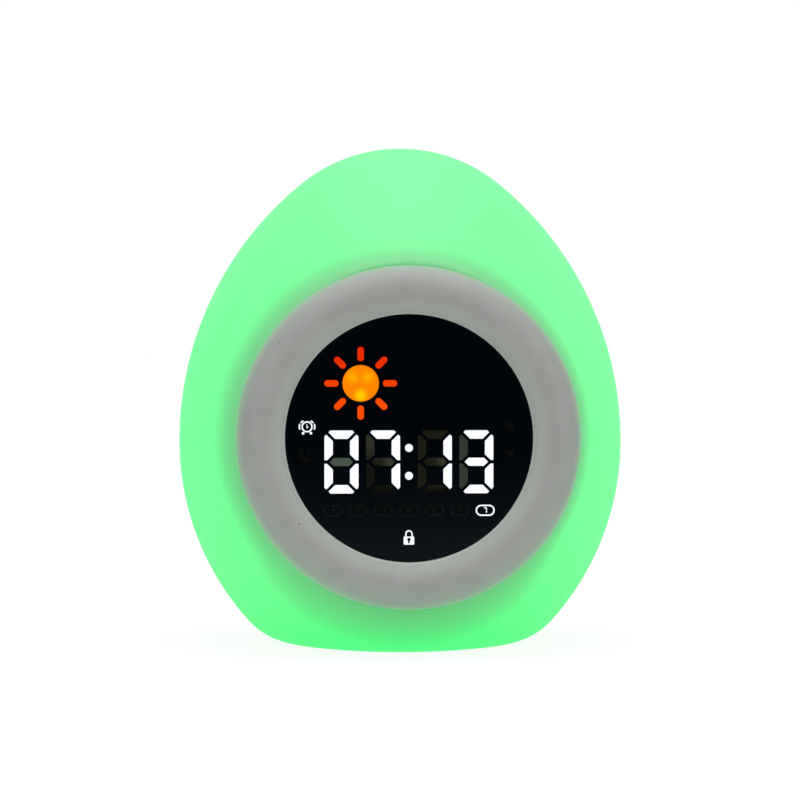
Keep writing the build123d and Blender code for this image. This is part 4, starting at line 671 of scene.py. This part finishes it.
def unlit_segment():
    """Unlit light guides with painted stray light from the lit ones: most in the first digit, less
    in the fourth, high up in the second and at the right ends of the middle bars, and none at the
    digits' feet. The other marks get a faint painted glow, a little stronger low down."""
    made, tree, shader = surface("unlit_segment", (0.02, 0.021, 0.016), size=1.0, smooth=0.5, rough=0.65,
                                 spread=0.1, depth=0.05, specular=0.1)
    stray, more_first, more_fourth, less_low, more_high = 0.022, 0.163, 0.06, -0.012, 0.063
    bar_end, bar_end_reach = 0.15, 5.5 * MM
    first_green, stray_yellow = (0.97, 1.3, 0.94, 1.0), (1.0, 1.06, 0.6, 1.0)
    fourth_share = 0.7
    x, _, z = object_axes(tree)
    middle = AXIS_Z - DIGIT_DROP
    digit_box = dict(centre_z=middle, half_x=4.5 * MM, half_z=8 * MM)
    first = ramp(tree, x, -12 * MM, -10 * MM, 1.0, 0.0)
    second = use_group(tree, BAR, centre_x=-5.65 * MM, **digit_box)["Mask"]
    fourth = use_group(tree, BAR, centre_x=15.3 * MM, **digit_box)["Mask"]
    digits = use_group(tree, BAR, centre_z=middle, half_x=20 * MM, half_z=8 * MM)["Mask"]
    high = ramp(tree, z, middle - 2.6 * MM, middle + 7.4 * MM, less_low, more_high)
    foot = ramp(tree, z, AXIS_Z - 12.2 * MM, AXIS_Z - 10.8 * MM)
    level = calc(tree, "MULTIPLY_ADD", second, high, stray)
    level = calc(tree, "MULTIPLY_ADD", first, more_first, level)
    level = calc(tree, "MULTIPLY_ADD", fourth, more_fourth, level)
    for end_x in (-2.3 * MM, 9.9 * MM):
        near = use_group(tree, SPOT, centre_x=end_x, centre_z=middle, inner=0.0, outer=bar_end_reach)
        level = calc(tree, "MAXIMUM", level, calc(tree, "MULTIPLY", near["Mask"], bar_end))
    level = calc(tree, "MULTIPLY", calc(tree, "MULTIPLY", level, foot), digits)
    # Painted light: a faint glow on every mark, stronger below the digits.
    level = calc(tree, "ADD", level, ramp(tree, z, AXIS_Z - 17 * MM, AXIS_Z - 11 * MM, 0.018, 0.005))
    green = calc(tree, "MULTIPLY_ADD", fourth, fourth_share, first)
    glow(tree, shader, blend(tree, level, BLACK, blend(tree, green, stray_yellow, first_green)), 1.13)
    return made


def sun_disc():
    """The sun's disc, orange at its edge with three warmer hot spots where its LEDs sit."""
    made, tree, shader = surface("lit_amber", (0.5, 0.15, 0.002), **LIGHT_GUIDE)
    colour = (1.12, 0.24, 0.0, 1.0)
    for x, z, green in ((-12.7, 13.75, 0.43), (-9.3, 13.75, 0.43), (-10.9, 9.7, 0.68)):
        spot = use_group(tree, SPOT, centre_x=x * MM, centre_z=AXIS_Z + z * MM, inner=0.0, outer=2.2 * MM)
        colour = blend(tree, spot["Mask"], colour, (1.2, green, 0.0, 1.0))
    glow(tree, shader, colour, SUN_STRENGTH)
    return made


def sun_rays():
    """The sun's rays, redder than its disc and reddest at the top."""
    made, tree, shader = surface("lit_orange", (0.4, 0.05, 0.001), **LIGHT_GUIDE)
    low_orange, high_red = (1.06, 0.085, 0.0, 1.0), (0.85, 0.022, 0.0, 1.0)
    _, _, z = object_axes(tree)
    height = ramp(tree, z, AXIS_Z + 5 * MM, AXIS_Z + 20 * MM)
    glow(tree, shader, blend(tree, height, low_orange, high_red), SUN_STRENGTH)
    return made


def black_print():
    """Black print behind the window under a faint painted blue glow, stronger low down as the shell's light
    leaks in.
    """
    made, tree, shader = surface("black_print", (0.002, 0.002, 0.002), size=0.5, smooth=0.5, rough=0.7,
                                 depth=0.05, specular=0.0)
    # Painted light: the print glows a faint blue everywhere, bluer and stronger low down.
    high_blue, low_blue, leak = (0.2, 0.45, 0.75, 1.0), (1.1, 1.55, 1.95, 1.0), 0.01
    _, _, z = object_axes(tree)
    low = ramp(tree, z, AXIS_Z - 26 * MM, AXIS_Z - 2 * MM, 1.0, 0.0)
    glow(tree, shader, blend(tree, low, high_blue, low_blue), leak)
    return made


def board(name, colour, track):
    """Solder mask over copper tracks, whose runs follow the joints of brick courses."""
    made, tree, shader = surface(name, colour, size=0.6, smooth=0.2, rough=0.35, depth=0.08)
    course, track_width = 6 * MM, 0.012
    turn = place(tree, "Mapping")
    turn.inputs["Rotation"].default_value = (math.radians(90), 0, 0)
    runs = place(tree, "TexBrick")
    runs.inputs["Scale"].default_value = 1 / course
    runs.inputs["Mortar Size"].default_value = track_width
    tree.links.new(object_point(tree), turn.inputs["Vector"])
    tree.links.new(turn.outputs[0], runs.inputs["Vector"])
    tracked = blend(tree, runs.outputs["Fac"], base_colour(shader), shade(track, 1.0))
    feed(tree, shader.inputs["Base Color"], tracked)
    return made


def cell_wrap():
    """A blue shrink sleeve with a bare metal cap at the positive end."""
    made, tree, shader = surface("cell_wrap", (0.03, 0.16, 0.42), size=2.0, smooth=0.2, rough=0.3, depth=0.05)
    cap_start, cap_metal = 31.4 * MM, (0.6, 0.6, 0.6, 1.0)
    x, _, _ = object_axes(tree)
    cap = calc(tree, "GREATER_THAN", x, cap_start)
    feed(tree, shader.inputs["Base Color"], blend(tree, cap, base_colour(shader), cap_metal))
    feed(tree, shader.inputs["Metallic"], cap)
    return made


def ribbon():
    """Flat cable: parallel cores show as fine ridges across its width."""
    made, tree, shader = surface("ribbon", (0.7, 0.71, 0.73), size=0.8, smooth=0.35, rough=0.5, depth=0.05)
    core_pitch = 1.0 * MM
    x, _, _ = object_axes(tree)
    ridges = calc(tree, "SINE", calc(tree, "MULTIPLY", x, 2 * math.pi / core_pitch))
    bump(tree, shader, ridges, 0.5, 0.1 * MM)
    return made


def foot_silicone():
    """Clear silicone that carries some of the shell's light down to the table."""
    made, tree, shader = surface("foot_silicone", (0.4, 0.45, 0.42), size=0.5, smooth=0.5, rough=0.7,
                                 depth=0.1)
    dim_green, bright_green = (0.0, 0.6, 0.12, 1.0), (0.0, 0.7, 0.14, 1.0)
    tone = use_group(tree, GRAIN, size=2 * MM)["Tone"]
    glow(tree, shader, blend(tree, tone, dim_green, bright_green))
    return made


COVER_GREY = (0.62, 0.63, 0.62)
BUTTON_GREY = (0.30, 0.31, 0.30)
PLASTIC_WHITE = (0.8, 0.81, 0.8)
MATERIALS = {
    "glow_shell": glow_shell(),
    "ring_grey": ring_grey(),
    "smoked_window": smoked_window(),
    "black_tape": plain("black_tape", (0.015, 0.015, 0.015), size=0.4, smooth=0.7, rough=0.85, depth=0.1),
    "black_print": black_print(),
    "lit_white": lit_white(),
    "unlit_segment": unlit_segment(),
    "lit_amber": sun_disc(),
    "lit_orange": sun_rays(),
    "white_plastic": plain("white_plastic", PLASTIC_WHITE, size=0.8, smooth=0.4, rough=0.55, depth=0.1),
    "led_body": plain("led_body", (0.82, 0.78, 0.42), size=0.5, smooth=0.25, rough=0.4, depth=0.05),
    "circuit_board": board("circuit_board", (0.02, 0.16, 0.07), (0.05, 0.3, 0.12)),
    "white_board": board("white_board", PLASTIC_WHITE, (0.65, 0.66, 0.62)),
    "steel_screw": plain("steel_screw", (0.55, 0.56, 0.58), BRUSHED, 0.3, 0.2, 0.4, 0.12, 0.1, 1.0),
    "cell_wrap": cell_wrap(),
    "red_lead": plain("red_lead", (0.55, 0.02, 0.02), **SOFT_LEAD),
    "black_lead": plain("black_lead", (0.02, 0.02, 0.02), **SOFT_LEAD),
    "grey_lead": plain("grey_lead", (0.25, 0.25, 0.27), **SOFT_LEAD),
    "ribbon": ribbon(),
    "chip_black": plain("chip_black", (0.02, 0.02, 0.022), size=0.2, smooth=0.5, rough=0.65),
    "switch_black": plain("switch_black", (0.03, 0.03, 0.03), size=0.3, smooth=0.4, rough=0.55),
    "socket_steel": plain("socket_steel", (0.6, 0.6, 0.62), BRUSHED, 0.2, 0.15, 0.3, 0.08, 0.05, 1.0),
    "cover_white": plain("cover_white", COVER_GREY, **MOULDED),
    "button_grey": plain("button_grey", BUTTON_GREY, **MOULDED),
    "foot_silicone": foot_silicone(),
    "foam": plain("foam", (0.03, 0.03, 0.03), size=0.25, smooth=0.9, rough=1.0, spread=0.2, depth=0.6),
    "speaker_steel": plain("speaker_steel", (0.04, 0.04, 0.04), size=0.4, smooth=0.35, rough=0.5),
    "magnet_steel": plain("magnet_steel", (0.5, 0.5, 0.5), BRUSHED, 0.3, 0.25, 0.4, 0.1, 0.1, 1.0),
    "paper": plain("paper", (0.05, 0.05, 0.05), size=0.6, smooth=0.85, rough=1.0, spread=0.25, depth=0.4),
    "copper": plain("copper", (0.72, 0.38, 0.2), BRUSHED, 0.4, 0.2, 0.35, 0.1, 0.05, 1.0),
    "spring_steel": plain("spring_steel", (0.6, 0.6, 0.6), BRUSHED, 0.2, 0.2, 0.35, 0.1, 0.05, 1.0),
}

# ---- Button legends -------------------------------------------------------------------------

LEGEND_GREY = (0.75, 0.76, 0.75, 1.0)
LEGEND_SOFT_EDGE = 0.06 * MM
LEGEND_DEPTH = 2.6 * MM
CRESCENT_BITE = 0.9 * MM


def disc_mask(tree, x, z, radius):
    """A round mask with a soft edge, about a point."""
    outer = radius + LEGEND_SOFT_EDGE
    return use_group(tree, SPOT, centre_x=x, centre_z=z, inner=radius, outer=outer)["Mask"]


def mark_mask(tree, kind, x, z, a, b):
    """The mask of one mark about a point."""
    if kind == "bar":
        return use_group(tree, BAR, centre_x=x, centre_z=z, half_x=a, half_z=b)["Mask"]
    whole = disc_mask(tree, x, z, a)
    if not b:
        return whole
    hole_x = x + CRESCENT_BITE if kind == "crescent" else x
    return calc(tree, "SUBTRACT", whole, disc_mask(tree, hole_x, z, b), clamp=True)


def legend_material(node, marks):
    """The button's grey with a light symbol on its cap, built from ring, crescent and bar marks."""
    made, tree, shader = surface(node + "_grey", BUTTON_GREY, **MOULDED)
    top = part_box(node)[1][1]
    centre_x, centre_z = button_centre(node)
    symbol = 0.0
    for kind, across, up, a, b in marks:
        mask = mark_mask(tree, kind, centre_x - across * MM, centre_z + up * MM, a * MM, b * MM)
        symbol = calc(tree, "MAXIMUM", symbol, mask)
    _, y, _ = object_axes(tree)
    on_top = calc(tree, "GREATER_THAN", y, top - LEGEND_DEPTH)
    printed = calc(tree, "MULTIPLY", symbol, on_top)
    feed(tree, shader.inputs["Base Color"], blend(tree, printed, base_colour(shader), LEGEND_GREY))
    return made


# Each mark is (kind, across, up, a, b) in millimetres, as someone behind the clock sees it: a ring
# of outer radius a and inner radius b, filled where b is 0, a crescent of radius a with a bite of
# radius b, or a bar of half sizes a and b.
RAY_COUNT, RAY_REACH, RAY_RADIUS = 8, 1.45, 0.2
SUN_DOTS = [("ring", RAY_REACH * math.cos(2 * math.pi * i / RAY_COUNT),
             RAY_REACH * math.sin(2 * math.pi * i / RAY_COUNT), RAY_RADIUS, 0) for i in range(RAY_COUNT)]
LEGENDS = {
    "alarm_button": [("ring", 0, 0, 1.3, 0.95), ("bar", 0, 0.35, 0.15, 0.4), ("bar", 0.25, 0, 0.3, 0.14),
                     ("ring", -1.2, 1.2, 0.36, 0), ("ring", 1.2, 1.2, 0.36, 0)],
    "time_button": [("ring", 0, 0, 1.6, 1.25), ("bar", 0, 0.45, 0.16, 0.55), ("bar", 0.35, 0, 0.4, 0.16)],
    "light_button": [("ring", 0, 0, 0.8, 0)] + SUN_DOTS,
    "volume_up_button": [("bar", 0, 0, 1.3, 0.22), ("bar", 0, 0, 0.22, 1.3)],
    "volume_down_button": [("bar", 0, 0, 1.3, 0.22)],
    "nap_button": [("crescent", 0, 0, 1.5, 1.25)],
}

# ---- Put the object together ----------------------------------------------------------------

SLOT_OF = {row["node"]: row["material_slot"] for row in frame["record"]["subparts"]}
for node, carried in frame["nodes"].items():
    for socket in carried.material_slots:
        socket.material = MATERIALS[SLOT_OF[node]]

make_shell().data.materials.append(MATERIALS["glow_shell"])
make_ring().data.materials.append(MATERIALS["ring_grey"])
make_window().data.materials.append(MATERIALS["smoked_window"])
for node, marks in LEGENDS.items():
    make_button(node).data.materials.append(legend_material(node, marks))

# ---- Floor, world, lamps and camera ---------------------------------------------------------

FLOOR_HALF = 6.0
FLOOR_SHARE = 0.1
FLOOR_FADE = (0.15, 0.4)
FILL_GREY = (0.45, 0.45, 0.45, 1.0)
LOOK_TARGET = (0.0, 0.0, 58.0 * MM)
CAMERA_DISTANCE = 0.8
CAMERA_AZIMUTH = math.radians(-2.7)
CAMERA_ELEVATION = math.radians(1.5)
CAMERA_LENS = 151.0


def seen_directly(tree):
    """Masks of the rays from the camera and of those that a surface has mirrored or let through."""
    path = place(tree, "LightPath")
    passed = calc(tree, "MAXIMUM", path.outputs["Is Glossy Ray"], path.outputs["Is Transmission Ray"])
    camera = path.outputs["Is Camera Ray"]
    return camera, calc(tree, "MULTIPLY", passed, calc(tree, "SUBTRACT", 1.0, camera))


def make_floor():
    """A wide pale floor. Seen directly it is plain white but for a share near the clock, where it
    shows the clock's shadow, so it meets the white backdrop. Reflections find it dark in front."""
    mesh = bpy.data.meshes.new("floor")
    corners = [(x * FLOOR_HALF, y * FLOOR_HALF, 0) for x, y in ((-1, -1), (1, -1), (1, 1), (-1, 1))]
    mesh.from_pydata(corners, [], [(0, 1, 2, 3)])
    floor = bpy.data.objects.new("floor", mesh)
    bpy.context.scene.collection.objects.link(floor)
    made, tree, shader = start_material("floor_pale")
    shader.inputs["Base Color"].default_value = (0.88, 0.88, 0.88, 1.0)
    shader.inputs["Roughness"].default_value = 0.9
    shader.inputs["Specular IOR Level"].default_value = 0.0
    white = place(tree, "Emission")
    mix = place(tree, "MixShader")
    x, y, _ = object_axes(tree)
    away = calc(tree, "SQRT", calc(tree, "MULTIPLY_ADD", x, x, calc(tree, "MULTIPLY", y, y)))
    plain = ramp(tree, away, *FLOOR_FADE, 1 - FLOOR_SHARE, 1.0)
    camera, passed = seen_directly(tree)
    feed(tree, mix.inputs[0], calc(tree, "MULTIPLY_ADD", camera, plain, passed, clamp=True))
    in_front = calc(tree, "MULTIPLY", passed, ramp(tree, y, -0.6, -0.1, 0.95, 0.0))
    feed(tree, white.inputs["Strength"], calc(tree, "SUBTRACT", 1.0, in_front))
    tree.links.new(shader.outputs[0], mix.inputs[1])
    tree.links.new(white.outputs[0], mix.inputs[2])
    tree.links.new(mix.outputs[0], tree.nodes["Material Output"].inputs["Surface"])
    mesh.materials.append(made)


def make_world():
    """White where it is seen directly and a plain grey fill for everything else. Reflections find
    it dark in front of the clock, as a studio is."""
    world = bpy.data.worlds.new("studio")
    world.use_nodes = True
    bpy.context.scene.world = world
    tree = world.node_tree
    back = tree.nodes["Background"]
    where = place(tree, "TexCoord")
    parts = place(tree, "SeparateXYZ")
    tree.links.new(where.outputs["Generated"], parts.inputs[0])
    behind = ramp(tree, parts.outputs[1], -0.5, 0.1, 0.05, 1.0)
    camera, passed = seen_directly(tree)
    fill = blend(tree, passed, FILL_GREY, blend(tree, behind, BLACK, WHITE))
    feed(tree, back.inputs["Color"], blend(tree, camera, fill, WHITE))


def make_lamp(name, location, size, power):
    """A square soft lamp aimed at the middle of the clock."""
    data = bpy.data.lights.new(name, "AREA")
    data.size = size
    data.energy = power
    lamp = bpy.data.objects.new(name, data)
    bpy.context.scene.collection.objects.link(lamp)
    lamp.location = location
    aim(lamp)


def aim(thing):
    """Turns a lamp or camera to face the middle of the clock."""
    thing.rotation_euler = (Vector(LOOK_TARGET) - thing.location).to_track_quat("-Z", "Y").to_euler()


def make_camera():
    """The camera in front of the clock, a little to its left and above the level it looks at."""
    data = bpy.data.cameras.new("camera")
    data.lens = CAMERA_LENS
    data.clip_start = 0.01
    camera = bpy.data.objects.new("camera", data)
    bpy.context.scene.collection.objects.link(camera)
    level = CAMERA_DISTANCE * math.cos(CAMERA_ELEVATION)
    camera.location = (level * math.sin(CAMERA_AZIMUTH), -level * math.cos(CAMERA_AZIMUTH),
                       LOOK_TARGET[2] + CAMERA_DISTANCE * math.sin(CAMERA_ELEVATION))
    aim(camera)
    bpy.context.scene.camera = camera


make_floor()
make_world()
make_lamp("overhead", (0.0, -0.15, 1.0), 0.9, 12.0)
make_lamp("front_left", (-0.7, -0.9, 0.6), 0.8, 4.0)
make_lamp("front_right", (0.8, -0.8, 0.5), 0.8, 4.0)
make_camera()

bpy.context.scene.view_settings.view_transform = "Standard"
